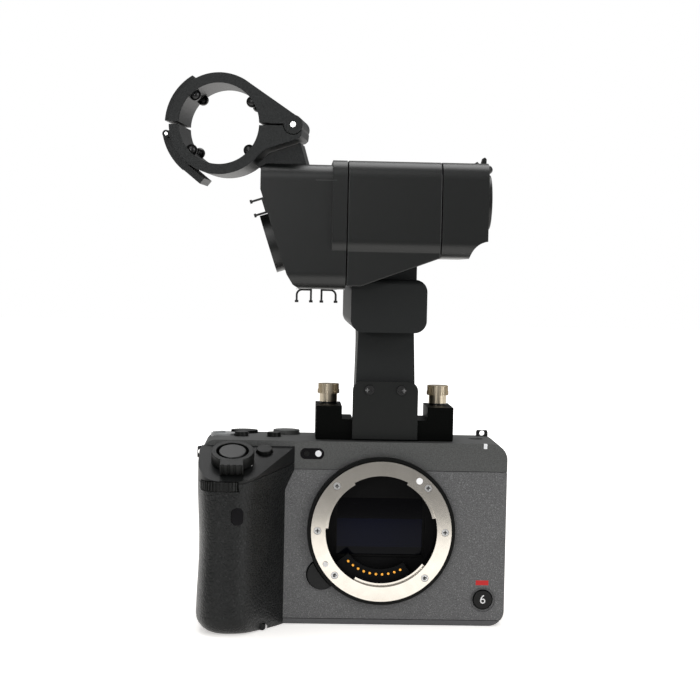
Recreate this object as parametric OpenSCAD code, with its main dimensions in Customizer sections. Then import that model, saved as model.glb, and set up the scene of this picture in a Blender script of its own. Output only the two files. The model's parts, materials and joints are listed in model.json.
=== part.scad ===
// Digital cinema camera with a top handle, an audio box and a microphone clamp.
// X runs to the viewer's right, Y runs away from the viewer and Z runs up.
// The origin is the mouth of the tripod socket, under the lens axis and on the sensor plane.

/* [Body] */
// Height of the body above the base
body_h = 76; // [76:0.5:84]
// Height of the lens axis above the base
axis_h = 39.4; // [38:0.1:41]
// Lens axis to the right end of the body
right_w = 51.9; // [49:0.1:60]
// Lens axis to the left side of the grip
left_w = 75.3; // [75.3:0.1:82]
// Sensor plane to the front face
front_d = 14; // [13:0.1:15]
// Sensor plane to the back of the rear cover
rear_d = 29; // [28:0.5:34]
// Corner radius of the body outline
corner_r = 6.5; // [4:0.1:9]
// Wall of the shells
wall = 1.8; // [1.4:0.1:2.2]
// Gap at the seams between shells
seam = 0.2; // [0.1:0.05:0.3]
// Height of the top cover
top_cover_h = 11.6; // [10:0.1:12]
// Slope at the back edge of the top cover
top_slope = 5; // [2:0.5:6]
// Thickness of the base plate
base_t = 2.2; // [1.8:0.1:3]
// Depth of the front panel
panel_d = 8; // [7:0.5:8.5]
// Lens axis to the left end of the front panel, under the grip
panel_left = 45; // [44:0.5:46]

/* [Lens mount] */
// Flange face to the sensor plane
flange_d = 18; // [17.6:0.1:18.4]
// Radius of the bayonet throat
throat_r = 23.05; // [22.6:0.05:23.2]
// Outer radius of the mount ring
ring_r = 29; // [28.8:0.1:30]
// Thickness of the mount ring
ring_t = 2.4; // [2:0.1:2.6]
// Radius of the black collar
collar_r = 30.6; // [30.2:0.1:31.2]
// Step from the flange face down to the collar
collar_step = 0.9; // [0.5:0.1:1.4]
// Reach of each bayonet claw into the throat
claw_reach = 1.2; // [0.8:0.1:1.6]
// Thickness of each bayonet claw
claw_t = 1.5; // [1:0.1:1.8]
// Radius of the circle of mount screws
screw_circle_r = 26.35; // [26:0.05:26.6]
// Radius of a screw head
screw_head_r = 1.45; // [1.2:0.05:1.6]
// Radius of the row of contact pins
contact_r = 18.9; // [18.4:0.1:19.4]
// Radius of one contact pin
contact_pin_r = 0.55; // [0.4:0.05:0.6]
// Number of contact pins
contact_count = 10; // [8:1:10]
// Radius of the lens lock pin
lock_pin_r = 1.1; // [0.9:0.05:1.15]
// Travel of the lens release button and its pin
release_travel = 1.5; // [1:0.1:1.6]

/* [Sensor] */
// Width of the image area
sensor_w = 35.9; // [35:0.1:36.5]
// Height of the image area
sensor_h = 24; // [23:0.1:24.5]
// Thickness of the sensor package
sensor_t = 2.2; // [1.8:0.1:2.6]

/* [Grip] */
// Sensor plane to the front of the grip
grip_d = 42; // [41:0.5:46]
// Height of the seam under the grip head, at the dial
grip_h = 61.2; // [60.5:0.1:62]
// Lens axis to the inner edge of the grip
grip_edge = 40; // [39:0.1:41]
// Flare of the grip head towards the lens
grip_flare = 3.7; // [2:0.1:5]
// Rounding round the foot of the grip
grip_round = 7; // [5:0.5:8]
// Slope of the deck under the zoom lever
deck_tilt = 23; // [20:1:25]
// Drop from the top of the body to the deck, at the front face
deck_drop = 2.2; // [1.5:0.1:3]
// Sensor plane to the back of the grip
grip_back = 22; // [21.5:0.1:22.5]

/* [Grip controls] */
// Radius of the ring of the zoom lever
lever_r = 8.7; // [8:0.1:9]
// Height of the zoom lever above the deck
lever_h = 4.6; // [3.5:0.1:5]
// Lens axis to the zoom lever
lever_x = 61.4; // [61:0.1:62]
// Front face to the zoom lever, along the deck
lever_run = 13.4; // [13:0.1:14]
// Radius of the record button
record_r = 5.6; // [4.5:0.1:5.8]
// Radius of the front dial
dial_r = 9.4; // [9:0.1:10]
// Height of the front dial
dial_h = 3.6; // [3:0.1:4]
// How far the front dial stands out of the grip
dial_proud = 1; // [0.6:0.1:1.4]
// Radius of the small button on the deck
deck_button_r = 3.2; // [2.6:0.1:3.6]
// Radius of the two collared buttons on top
top_button_r = 2.9; // [2.4:0.1:3.4]
// Radius of the flat button on top
mode_r = 5.7; // [5:0.1:6]
// Height of the buttons on top
top_button_h = 1.9; // [1.4:0.1:2.4]
// Travel of the buttons
press_travel = 0.6; // [0.4:0.1:0.8]
// Radius of the thumb dial at the back of the top cover
thumb_dial_r = 5.8; // [5:0.1:7]

/* [Battery and cards] */
// Width of the battery
battery_w = 22.7; // [21:0.1:23]
// Depth of the battery
battery_d = 38.7; // [36:0.1:39]
// Height of the battery
battery_h = 51.7; // [48:0.1:52]
// Clearance round the battery
battery_gap = 0.4; // [0.3:0.05:0.5]
// Thickness of the battery door
door_t = 2.4; // [2:0.1:2.6]
// Length of a memory card
card_l = 32; // [31:0.1:32]
// Width of a memory card
card_w = 24; // [22:0.1:24]
// Thickness of a memory card
card_t = 2.1; // [1.8:0.1:2.2]
// Width of the card door
card_door_w = 8.4; // [8.2:0.1:8.6]
// Height of the card door
card_door_h = 32; // [30:0.5:36]

/* [Ports] */
// Width of the port door
port_w = 19; // [17:0.5:20]
// Height of the port door
port_h = 48; // [46:0.5:52]
// Thickness of the port door
port_t = 1.8; // [1.4:0.1:2.2]

/* [Monitor] */
// Width of the monitor housing
monitor_w = 76; // [72:0.5:78]
// Height of the monitor housing
monitor_h = 56; // [52:0.5:58]
// Thickness of the monitor housing
monitor_t = 10.5; // [9:0.1:12]
// Radius of the monitor hinge
hinge_r = 4.2; // [3.6:0.1:4.6]
// Clearance between the monitor and the rear cover
monitor_gap = 1; // [0.6:0.1:1.5]

/* [Rear controls] */
// Radius of the control wheel
wheel_r = 10.5; // [9:0.1:11]
// Radius of the button in the middle of the wheel
centre_r = 4.2; // [3.6:0.1:4.6]
// Radius of the joystick cap
stick_r = 3.4; // [3:0.1:4]

/* [Handle] */
// Lens axis to the middle of the handle
handle_x = 1; // [0:0.1:2]
// Width of the base of the handle
handle_base_w = 57.4; // [56:0.1:60]
// Depth of the base of the handle
handle_base_d = 26; // [24:0.5:30]
// Sensor plane to the front of the handle base
handle_base_y = 7; // [6:0.1:8]
// Height of the ears of the handle base
ear_h = 14.2; // [13:0.1:16]
// Width of an ear of the handle base
ear_w = 10.8; // [10:0.1:12]
// Height of the step between the ears
step_h = 8.7; // [7:0.1:10]
// Width of the handle cover
cover_w = 27.2; // [26:0.1:29]
// Height of the handle cover
cover_h = 24.6; // [23:0.1:26]
// Thickness of the handle cover
cover_t = 2; // [1.6:0.1:2.4]
// Width of the foot of the post
post_foot_w = 26; // [24:0.1:27]
// Width of the neck of the post
post_neck_w = 23.3; // [22:0.1:25]
// Top of the body to the underside of the handle bar
bar_z = 45.6; // [44:0.1:50]
// Height of the handle bar
bar_h = 21.8; // [20:0.1:23]
// Width of the handle bar
bar_w = 31; // [29:0.1:33]
// Length of the handle bar
bar_l = 110; // [100:1:130]
// Sensor plane to the front of the handle bar
bar_y = 22; // [20:0.5:26]
// Radius of a thumb screw's head
thumb_head_r = 4.7; // [4:0.1:5]
// Radius of a thumb screw's neck
thumb_neck_r = 3.8; // [3:0.1:4]

/* [Audio box] */
// Height of the underside of the audio box above the base
box_z = 152.2; // [151:0.1:156]
// Height of the audio box
box_h = 38.3; // [36:0.1:40]
// Depth of the audio box
box_d = 58; // [54:0.5:62]
// Sensor plane to the front of the audio box
box_y = 38; // [36:0.5:40]
// Lens axis to the left edge of the middle case
box_left = 17.2; // [16:0.1:18]
// Lens axis to the seam of the end cap
box_seam = 20.4; // [18:0.1:22]
// Lens axis to the right end of the audio box
box_right = 39; // [38:0.1:42]
// Rounding along the edges of the audio box
box_round = 7; // [5:0.5:9]
// Lens axis to the left end of the side cover
side_left = 52; // [50:0.1:54]
// Depth of the side cover under the middle case
side_drop = 13.3; // [12:0.1:14]
// Width of the raised band at the seam
band_w = 6; // [4:0.1:7]
// Radius of the input sockets
input_r = 11; // [10:0.1:12]
// Radius of the level dial's bezel
bezel_r = 12; // [10:0.1:12.5]
// Radius of the level dial
level_r = 8.6; // [7:0.1:9]

/* [Microphone clamp] */
// Inner radius of the clamp ring
clamp_r = 16.1; // [15:0.1:17]
// Thickness of the clamp ring
clamp_t = 4.1; // [3.6:0.1:4.6]
// Length of the clamp ring along its axis
clamp_l = 30; // [26:0.5:34]
// Lens axis to the axis of the clamp ring
clamp_x = 69; // [66:0.1:72]
// Height of the axis of the clamp ring above the audio box
clamp_z = 13.6; // [13:0.1:15]
// Sensor plane to the front of the clamp ring
clamp_y = 32; // [31:0.5:33]
// Turn of the clamp away from straight ahead
clamp_yaw = 6; // [4:0.5:7]
// Ring axis to the hinge pin
hinge_x = 29.7; // [29:0.1:31]
// Radius of the hinge knuckles
knuckle_r = 3.8; // [3.4:0.1:4]
// Radius of the hinge pin
pin_r = 1.2; // [0.9:0.1:1.4]

/* [Hidden] */
$fn = 48;
over = 1;

// Fits and clearances
running_gap = 0.1;
part_gap = 0.3;
button_gap = 0.35;

// Heights and planes that several pieces share
seam_z = body_h - top_cover_h;
panel_back = panel_d - front_d;
inner_front = wall - front_d;
grip_front = -grip_d;
grip_seat = -front_d - seam;
deck_z = body_h - deck_drop;
throat_seat = ring_t - flange_d;
boss_r = ring_r - 1.2;
chamber_r = throat_r + 1.6;
chamber_wall = 1;
frame_t = 2.4;

// Boxes and prisms between two planes
module block(x, y, z) {
  translate([x[0], y[0], z[0]])
    cube([x[1] - x[0], y[1] - y[0], z[1] - z[0]]);
}

module along_x(x) {
  translate([x[0], 0, 0])
    rotate([90, 0, 90])
      linear_extrude(x[1] - x[0])
        children();
}

module along_y(y) {
  translate([0, y[1], 0])
    rotate([90, 0, 0])
      linear_extrude(y[1] - y[0])
        children();
}

module rod_y(r, x, z, y) {
  translate([x, y[1], z])
    rotate([90, 0, 0])
      cylinder(h = y[1] - y[0], r = r);
}

module rod_x(r, y, z, x) {
  translate([x[0], y, z])
    rotate([0, 90, 0])
      cylinder(h = x[1] - x[0], r = r);
}

module rod_z(r, x, y, z) {
  translate([x, y, z[0]])
    cylinder(h = z[1] - z[0], r = r);
}

// A rectangle between two pairs of edges, with round corners
module rounded(x, y, r) {
  translate([x[0] + r, y[0]])
    square([x[1] - x[0] - 2 * r, y[1] - y[0]]);
  translate([x[0], y[0] + r])
    square([x[1] - x[0], y[1] - y[0] - 2 * r]);
  for (cx = [x[0] + r, x[1] - r], cy = [y[0] + r, y[1] - r])
    translate([cx, cy])
      circle(r);
}

// The outline of the body seen from the front, drawn in by an inset
module body_outline(y, inset) {
  along_y(y)
    rounded([inset - left_w + part_gap, right_w - inset], [inset, body_h - inset],
      corner_r - inset);
}

// Front panel: the grey metal face that carries the lens mount and the front record button
front_button_x = right_w - 9;
front_button_z = 11.1;
front_button_r = 3.9;
front_button_groove = 1.3;
front_button_proud = 0.5;
release_angle = 217.5;
release_r = 6;
release_proud = 1.6;
release_x = collar_r * cos(release_angle);
release_z = axis_h + collar_r * sin(release_angle);

module front_panel() {
  color("dimgray")
    difference() {
      intersection() {
        body_outline([-front_d, panel_back], 0);
        block([-panel_left, right_w + over], [-front_d - over, panel_back + over],
          [base_t + seam, seam_z - seam / 2]);
      }
      intersection() {
        body_outline([inner_front, panel_back + over], wall);
        block([-panel_left - over, right_w + over], [-front_d, panel_back + 2 * over],
          [base_t + wall, seam_z + over]);
      }
      block([-panel_left - over, right_w - wall - corner_r],
        [inner_front, panel_back + over], [0, base_t + wall + over]);
      rod_y(boss_r + seam, 0, axis_h, [-front_d - over, panel_back]);
      rod_y(front_button_r + button_gap, front_button_x, front_button_z,
        [-front_d - over, panel_back]);
      difference() {
        rod_y(front_button_r + front_button_groove, front_button_x, front_button_z,
          [-front_d - over, front_button_proud - front_d]);
        rod_y(front_button_r + front_button_groove / 2, front_button_x, front_button_z,
          [-front_d - 2 * over, over - front_d]);
      }
      rod_y(release_r + button_gap, release_x, release_z, [-front_d - over, panel_back]);
    }
}

// Top cover: the grey shell over the body, with its front lip and sloping back edge
top_left = part_gap - left_w;
top_button_y = 4;
iso_x = -58.8;
white_balance_x = -45.1;
mode_x = -39.9;
mode_y = 17;
power_x = -66.5;
power_y = 9;
power_r = 5.4;
thumb_dial_x = -58;
thumb_dial_y = rear_d - 9;
tally_x = 42.7;
tally_w = 1.7;
tally_h = 2.1;
tally_d = 1.6;
window_x = -29.05;
window_drop = 5.2;
window_z = body_h - window_drop;
window_w = 9.9;
window_h = 4.6;
window_d = 1;

module top_profile(inset) {
  polygon([
    [-front_d + inset, seam_z + seam / 2],
    [-front_d + inset, body_h - inset],
    [rear_d - top_slope - inset, body_h - inset],
    [rear_d - inset, body_h - top_slope - inset],
    [rear_d - inset, seam_z + seam / 2]
  ]);
}

module top_cover() {
  color("gray")
    difference() {
      intersection() {
        body_outline([-front_d, rear_d], 0);
        along_x([top_left, right_w])
          top_profile(0);
      }
      intersection() {
        body_outline([-front_d, rear_d], wall);
        block([-left_w, right_w], [inner_front, rear_d - top_slope],
          [seam_z, body_h - wall]);
      }
      for (x = [iso_x, white_balance_x])
        rod_z(top_button_r + button_gap, x, top_button_y, [seam_z, body_h + over]);
      rod_z(mode_r + button_gap, mode_x, mode_y, [seam_z, body_h + over]);
      rod_z(power_r + button_gap, power_x, power_y, [body_h - wall / 2, body_h + over]);
      rod_z(thumb_dial_r + button_gap, thumb_dial_x, thumb_dial_y,
        [body_h - thumb_dial_h, body_h + over]);
      block([tally_x - tally_w / 2, tally_x + tally_w / 2],
        [-front_d - over, tally_d - front_d], [body_h - tally_h, body_h + over]);
      along_y([-front_d - over, window_d - front_d])
        rounded([window_x - window_w / 2, window_x + window_w / 2],
          [window_z - window_h / 2, window_z + window_h / 2], window_h / 2 - seam);
      rod_z(top_socket_r, top_socket_x, top_socket_y, [body_h - top_socket_l, body_h + over]);
      rod_y(boss_r + seam, 0, axis_h, [-front_d - over, inner_front + over]);
    }
  color("gray")
    difference() {
      rod_z(top_socket_r + wall, top_socket_x, top_socket_y,
        [body_h - top_socket_l - wall, body_h - wall]);
      rod_z(top_socket_r, top_socket_x, top_socket_y,
        [body_h - top_socket_l, body_h + over]);
    }
}

// Threaded sockets for a tripod screw and for accessories
socket_r = 3.175;
socket_l = 6;
top_socket_r = socket_r;
top_socket_l = 6;
top_socket_x = right_w - 11;
top_socket_y = 8;

// Base plate: the flat foot of the camera, with the tripod socket
base_back = rear_d - 2;

module base_plate() {
  color([0.13, 0.13, 0.13]) {
    difference() {
      union() {
        intersection() {
          body_outline([seam - front_d, base_back], 0);
          block([-panel_left, right_w], [-front_d, base_back], [0, base_t]);
        }
        rod_z(socket_r + 2 * wall, 0, 0, [0, socket_l + wall / 2]);
      }
      rod_z(socket_r, 0, 0, [-over, socket_l]);
    }
  }
}

// Rear cover: the black shell at the back, open at the right for the sockets
rear_left = part_gap - left_w;
rear_plate = grip_back + seam;
port_y = 10.5;
port_z = 31;
monitor_x = right_w - 2 - monitor_w / 2;
monitor_z = 8 + monitor_h / 2;
monitor_back = rear_d + monitor_gap + monitor_t;
rest_r = 22;
rest_x = -62;
rest_proud = 6;
rest_z = [42, 60];
wheel_x = -50;
wheel_z = 27;
stick_x = -42;
stick_z = 50;
wheel_proud = 1.6;
vent_count = 7;
vent_pitch = 4;
vent_w = 1.6;
vent_x = 10;

module rear_cover() {
  color([0.15, 0.15, 0.15])
    difference() {
      union() {
        intersection() {
          body_outline([panel_back + seam, rear_d], 0);
          block([-panel_left + seam, right_w], [-front_d, rear_d],
            [base_t + seam, seam_z - seam / 2]);
        }
        intersection() {
          body_outline([rear_plate, rear_d], 0);
          block([rear_left, 0], [rear_plate, rear_d], [0, seam_z - seam / 2]);
        }
        intersection() {
          rod_z(rest_r, rest_x, rear_d + rest_proud - rest_r, rest_z);
          block([rear_left, 0], [rear_d - over, rear_d + rest_proud], rest_z);
        }
      }
      block([-panel_left + wall, right_w - wall], [panel_back, rear_plate],
        [base_t - over, seam_z + over]);
      block([-panel_left, right_w - corner_r], [panel_back, base_back + seam],
        [0, base_t + seam]);
      block([right_w - port_t - seam, right_w + over],
        [port_y - port_w / 2, port_y + port_w / 2],
        [port_z - port_h / 2, port_z + port_h / 2]);
      rod_z(door_pin_r + running_gap / 2, port_axis_x, port_axis_y,
        [port_z - port_h / 2 - door_pin_l, port_z + port_h / 2 + door_pin_l]);
      block([rear_left, -panel_left + 2 * wall], [panel_back, rear_plate],
        card_slot_z(2 * card_gap));
      rod_y(wheel_r + button_gap, wheel_x, wheel_z, [rear_d - wheel_proud, rear_d + over]);
      rod_y(stick_r + button_gap, stick_x, stick_z, [rear_plate - over, rear_d + over]);
      for (i = [0 : vent_count - 1])
        block([vent_x + i * vent_pitch, vent_x + i * vent_pitch + vent_w],
          [rear_plate - over, rear_d + over],
          [base_t + 2 * wall, base_t + 2 * wall + 2]);
    }
  monitor_knuckles();
}

// Chassis: the metal frame inside, with the boss behind the mount, the wall behind the sensor
// that sheds its heat through fins, the bearing of the fan and the cage of the card slots
frame_front = inner_front + seam;
fin_wall = 8;
fin_wall_t = 1.5;
fin_l = 6;
fin_t = 1;
fin_count = 5;
fin_pitch = 4;
fan_x = 26.5;
fan_z = 34;
fan_r = 9.5;
fan_hub_r = 4.5;
fan_t = 5;
fan_shaft_r = 1.5;
frame_left = -panel_left + wall + seam;
frame_right = right_w - wall - seam;
frame_bottom = base_t + wall + seam;
frame_top = seam_z - part_gap;
card_y = grip_back - 5;
card_z = 34;
card_pitch = 4;
card_gap = 0.3;
door_inset = 3;
card_x = [door_inset - left_w + part_gap, door_inset - left_w + part_gap + card_l];

module chassis() {
  color("silver")
    difference() {
      union() {
        block([frame_left, frame_right - corner_r], [frame_front, frame_front + frame_t],
          [frame_bottom + corner_r, frame_top]);
        rod_y(boss_r, 0, axis_h, [throat_seat, frame_front + frame_t]);
        block([frame_left, frame_right - port_box], [fin_wall, fin_wall + fin_wall_t],
          [frame_bottom, frame_top]);
        block([frame_left, frame_right - port_box], [frame_front, fin_wall + over],
          [frame_top - frame_t, frame_top]);
        rod_y(fan_shaft_r, fan_x, fan_z,
          [fin_wall, fin_wall + fin_wall_t + fan_t + 2 * part_gap]);
        for (i = [0 : fin_count - 1])
          block([fin_x + i * fin_pitch, fin_x + i * fin_pitch + fin_t],
            [fin_wall + over, fin_wall + fin_wall_t + fin_l],
            [frame_bottom + fin_l, frame_top - fin_l]);
      }
      rod_y(chamber_r + running_gap, 0, axis_h, [-flange_d - over, frame_front + frame_t + over]);
      rod_y(chamber_r + running_gap, 0, axis_h, [frame_front, chamber_back + part_gap]);
      rod_y(lock_pin_r + running_gap / 2, lock_x, lock_z, [-flange_d, fin_wall]);
      rod_y(release_r + button_gap, release_x, release_z,
        [-front_d - over, frame_front + frame_t + over]);
      rod_y(front_button_r + button_gap, front_button_x, front_button_z,
        [-front_d - over, frame_front + frame_t + over]);
    }
  color("silver")
    difference() {
      block([frame_left, card_x[1] + wall],
        [card_y - card_door_w / 2, card_y + card_door_w / 2],
        [card_z - card_door_h / 2, card_z + card_door_h / 2]);
      for (side = [-1, 1])
        card_slot(card_y + side * card_pitch / 2);
    }
}

fin_x = -2;
port_box = 15;

function card_slot_z(gap) = [card_z - card_w / 2 - gap, card_z + card_w / 2 + gap];

module card_slot(y) {
  block([-left_w, card_x[1] + card_gap],
    [y - card_t / 2 - card_gap, y + card_t / 2 + card_gap],
    card_slot_z(card_gap));
}

// Memory cards, seated in their slots with one cut corner each
card_cut = 3.5;

module memory_cards() {
  color("midnightblue")
    for (side = [-1, 1])
      along_y([card_y + side * card_pitch / 2 - card_t / 2,
        card_y + side * card_pitch / 2 + card_t / 2])
        polygon([
          [card_x[0], card_z - card_w / 2],
          [card_x[1], card_z - card_w / 2],
          [card_x[1], card_z + card_w / 2 - card_cut],
          [card_x[1] - card_cut, card_z + card_w / 2],
          [card_x[0], card_z + card_w / 2]
        ]);
}

// The form of the grip: level outlines, each a closed smooth curve through a few points
// that follow the finger flank, the round front and the straight left side
grip_left = -left_w;
grip_inner = -panel_left - seam;
grip_points = [
  [0, 1, 0], [0.06, 0.86, 0.25], [0.24, 0.47, 0.7], [0.42, 0.1, 1], [0.6, 0.01, 1],
  [0.78, 0.02, 1], [0.91, 0.13, 1], [0.99, 0.42, 1], [1, 0.75, 1], [1, 1, 1]
];
grip_span_shares = [for (p = grip_points) [p[0], p[1]]];
grip_round_shares = [for (p = grip_points) p[2]];
spline_steps = 3;
level_count = 7;
crown_r = 5;

function spline(a, b, c, d, t) =
  0.5 * (2 * b + (c - a) * t + (2 * a - 5 * b + 4 * c - d) * t * t
    + (3 * b - a - 3 * c + d) * t * t * t);

function at(list, i) = list[max(0, min(len(list) - 1, i))];

function smooth(list) = concat([
  for (i = [0 : len(list) - 2], s = [0 : spline_steps - 1])
    spline(at(list, i - 1), list[i], list[i + 1], at(list, i + 2), s / spline_steps)
], [list[len(list) - 1]]);

curve_shares = smooth(grip_span_shares);
round_shares = smooth(grip_round_shares);

// The flank stands off further under the head, where the fingers curl round it
function flank(z) =
  let(low = grip_h - 5.4, high = grip_h + 3)
  grip_edge - grip_flare * max(0, min(1, (z - low) / (high - low)));

function foot_inset(z) =
  z >= grip_round ? 0 : grip_round - sqrt(pow(grip_round, 2) - pow(grip_round - z, 2));

function crown_inset(z) =
  let(rise = z - (body_h - crown_r))
  rise <= 0 ? 0 : crown_r - sqrt(max(0, pow(crown_r, 2) - pow(rise, 2)));

waist_inset = 0.9;

function waist(z) = waist_inset * pow(sin(180 * min(1, max(0, (z - grip_round) / (grip_h - grip_round)))), 2);

function grip_level(z) =
  let(inset = foot_inset(z) + crown_inset(z) + waist(z),
    right = -flank(z),
    width = right + left_w,
    depth = grip_seat - grip_front)
  concat([
    for (i = [0 : len(curve_shares) - 1])
      let(share = curve_shares[i],
        x = right - width * share[0],
        y = grip_front + depth * share[1],
        pull = inset * round_shares[i],
        toward_x = max(0, (share[0] - 0.5) * 2),
        toward_y = 1 - share[1])
      [x + pull * toward_x, y + pull * max(0, toward_y), z]
  ], [
    [grip_left + inset, grip_back - corner_r / 2, z],
    [grip_left + inset + corner_r / 4, grip_back - corner_r / 8, z],
    [grip_left + inset + corner_r / 2, grip_back, z],
    [grip_inner, grip_back, z],
    [grip_inner, grip_seat, z]
  ]);

grip_levels = concat(
  [for (i = [0 : level_count - 1]) grip_round * (1 - cos(90 * i / (level_count - 1)))],
  [for (i = [1 : level_count - 1]) grip_round + (grip_h - 5.4 - grip_round) * i / (level_count - 1)],
  [grip_h - 2, grip_h + 1, grip_h + 3],
  [for (i = [0 : level_count - 1]) body_h - crown_r * (1 - sin(90 * i / level_count))]
);

// Walls between the level outlines, closed by a fan at the foot and one at the crown
module grip_form() {
  rings = [for (z = grip_levels) grip_level(z)];
  n = len(rings[0]);
  m = len(rings);
  hub = [(grip_left + grip_inner) / 2, grip_seat - wall];
  points = concat([for (ring = rings) each ring],
    [[hub[0], hub[1], grip_levels[0]], [hub[0], hub[1], grip_levels[m - 1]]]);
  walls = [
    for (k = [0 : m - 2], i = [0 : n - 1])
      let(a = k * n + i, b = k * n + (i + 1) % n)
      each [[a, b, b + n], [a, b + n, a + n]]
  ];
  foot = [for (i = [0 : n - 1]) [m * n, (i + 1) % n, i]];
  crown = [for (i = [0 : n - 1]) [m * n + 1, (m - 1) * n + i, (m - 1) * n + (i + 1) % n]];
  polyhedron(points, concat(walls, foot, crown));
}

battery_wall = 2.4;
battery_front = -27;

// Grip: the leather-grained handle round the battery, closed below the head by a seam
// that runs level under the dial and climbs towards the lens
battery_x = [battery_wall - left_w, battery_wall - left_w + battery_w];
battery_y = [battery_front, battery_front + battery_d];
battery_z = [door_t + 2 * battery_gap, door_t + 2 * battery_gap + battery_h];
battery_rim = 1.2;
seam_run = 19;
seam_rise = 5.9;

module seam_side(shift, end_z) {
  knee = -flank(grip_h) - seam_run;
  edge = -grip_edge + grip_flare + over;
  polygon([
    [-left_w - over, grip_h + shift],
    [knee, grip_h + shift],
    [edge, grip_h + seam_rise + shift],
    [edge, end_z],
    [-left_w - over, end_z]
  ]);
}

// Pins and barrels of the card door and the port door
door_pin_r = 0.5;
door_pin_l = 1.2;
card_barrel_r = (door_inset - waist_inset) / 2;
card_axis_x = waist_inset + card_barrel_r - left_w;
card_axis_y = card_y + card_door_w / 2 - card_barrel_r;
port_barrel_r = (port_t - running_gap) / 2;
port_axis_x = right_w - running_gap - port_barrel_r;
port_axis_y = port_y + port_w / 2 - part_gap - port_barrel_r;

remote_x = -58.7;
remote_z = 48;
remote_w = 5.2;
remote_h = 7.1;
remote_d = 1;

module card_door_hole(gap) {
  block([-left_w - over, door_inset - left_w + (gap > 0 ? part_gap : 0)],
    [card_y - card_door_w / 2 - gap, card_y + card_door_w / 2 + gap],
    [card_z - card_door_h / 2 - gap, card_z + card_door_h / 2 + gap]);
}

module battery_door_hole(gap) {
  block([-left_w - over, battery_x[1] + battery_rim + gap],
    [battery_y[0] - battery_rim - gap, battery_y[1] + battery_rim + gap],
    [-over, door_t + gap]);
}

module grip() {
  color([0.14, 0.15, 0.14])
    difference() {
      intersection() {
        grip_form();
        union() {
          along_y([grip_front - over, grip_seat])
            seam_side(-seam / 2, -over);
          block([-left_w - over, grip_inner + over], [grip_seat, grip_back + over],
            [-over, seam_z - seam / 2]);
        }
      }
      block([battery_x[0] - battery_gap, battery_x[1] + battery_gap],
        [battery_y[0] - battery_gap, battery_y[1] + battery_gap],
        [-over, battery_z[1] + battery_gap]);
      battery_door_hole(part_gap);
      rod_y(barrel_r + part_gap, door_axis_x, door_axis_z,
        [battery_y[0] - battery_rim - part_gap, battery_y[1] + battery_rim + part_gap]);
      block([door_axis_x, door_axis_x + barrel_r + 2 * part_gap],
        [battery_y[0] - battery_rim - part_gap, battery_y[1] + battery_rim + part_gap],
        [-over, door_axis_z]);
      card_door_hole(part_gap);
      rod_z(door_pin_r + running_gap / 2, card_axis_x, card_axis_y,
        [card_door_z[0] - door_pin_l - part_gap, card_door_z[1] + door_pin_l + part_gap]);
      block([door_inset - left_w - over, grip_inner + over],
        [card_y - card_pitch / 2 - card_t / 2 - 2 * card_gap,
          card_y + card_pitch / 2 + card_t / 2 + 2 * card_gap],
        card_slot_z(2 * card_gap));
      rod_z(dial_r + part_gap, dial_x, dial_y,
        [dial_z - dial_h / 2 - part_gap, body_h]);
      along_y([grip_front - over, grip_front + remote_d + over])
        rounded([remote_x - remote_w / 2, remote_x + remote_w / 2],
          [remote_z - remote_h / 2, remote_z + remote_h / 2], remote_w / 2 - seam);
    }
}

// Grip head: the black shoulder over the grip, whose deck slopes down to the front dial
dial_x = -64.1;
dial_z = grip_h - 1.2;
dial_y = dial_proud + grip_front + dial_r - 2 * dial_proud;

module on_deck() {
  translate([0, -front_d, deck_z])
    rotate([deck_tilt, 0, 0])
      children();
}

record_stem_r = record_r - 1.6;

module grip_head() {
  color([0.13, 0.13, 0.13])
    difference() {
      intersection() {
        grip_form();
        along_y([grip_front - over, grip_seat])
          seam_side(seam / 2, body_h + over);
        on_deck()
          block([-left_w - over, 0], [-2 * grip_d, grip_d], [-2 * body_h, 0]);
      }
      rod_z(dial_r + part_gap, dial_x, dial_y,
        [0, dial_z + dial_h / 2 + part_gap]);
      on_deck() {
        rod_z(record_stem_r + running_gap, -lever_x, -lever_run,
          [-lever_seat, over]);
        rod_z(deck_button_r + button_gap, deck_button_x, -deck_button_run,
          [-deck_button_sink, over]);
      }
    }
}

deck_button_x = -48.7;
deck_button_run = 5;
deck_button_sink = 1.6;
lever_seat = 3;

// Zoom lever: a ring with a ribbed finger tab, sprung to the middle
tab_w = 9.4;
tab_l = 3.4;
tab_rib = 1;
tab_ribs = 4;
lever_bore_r = record_r + 0.9;
lever_floor = 1.2;

module zoom_lever() {
  color([0.16, 0.16, 0.16])
    on_deck()
      translate([-lever_x, -lever_run, part_gap])
        difference() {
          union() {
            cylinder(h = lever_h, r = lever_r);
            translate([-tab_w / 2, -lever_r - tab_l, 0])
              cube([tab_w, lever_r, lever_h]);
          }
          translate([0, 0, lever_floor])
            cylinder(h = lever_h, r = lever_bore_r);
          translate([0, 0, -over])
            cylinder(h = lever_h, r = record_stem_r + running_gap);
          for (i = [0 : tab_ribs - 1])
            translate([(i - (tab_ribs - 1) / 2) * tab_w / tab_ribs - tab_rib / 2,
              -lever_r - tab_l - over, -over])
              cube([tab_rib, over + tab_rib / 2, lever_h + 2 * over]);
        }
}

// Record button in the middle of the zoom lever, dished for the fingertip
record_cap_t = 2.2;

module record_button() {
  color([0.12, 0.12, 0.12])
    on_deck()
      translate([-lever_x, -lever_run, 0]) {
        rod_z(record_stem_r, 0, 0, [press_travel - lever_seat, lever_h]);
        rod_z(record_r, 0, 0, [lever_h - record_cap_t + 2 * part_gap + press_travel,
          lever_h + part_gap]);
      }
}

// Front dial: a ribbed wheel on an upright pin, half hidden in the grip
dial_rib = 0.5;
dial_ribs = 40;

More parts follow.
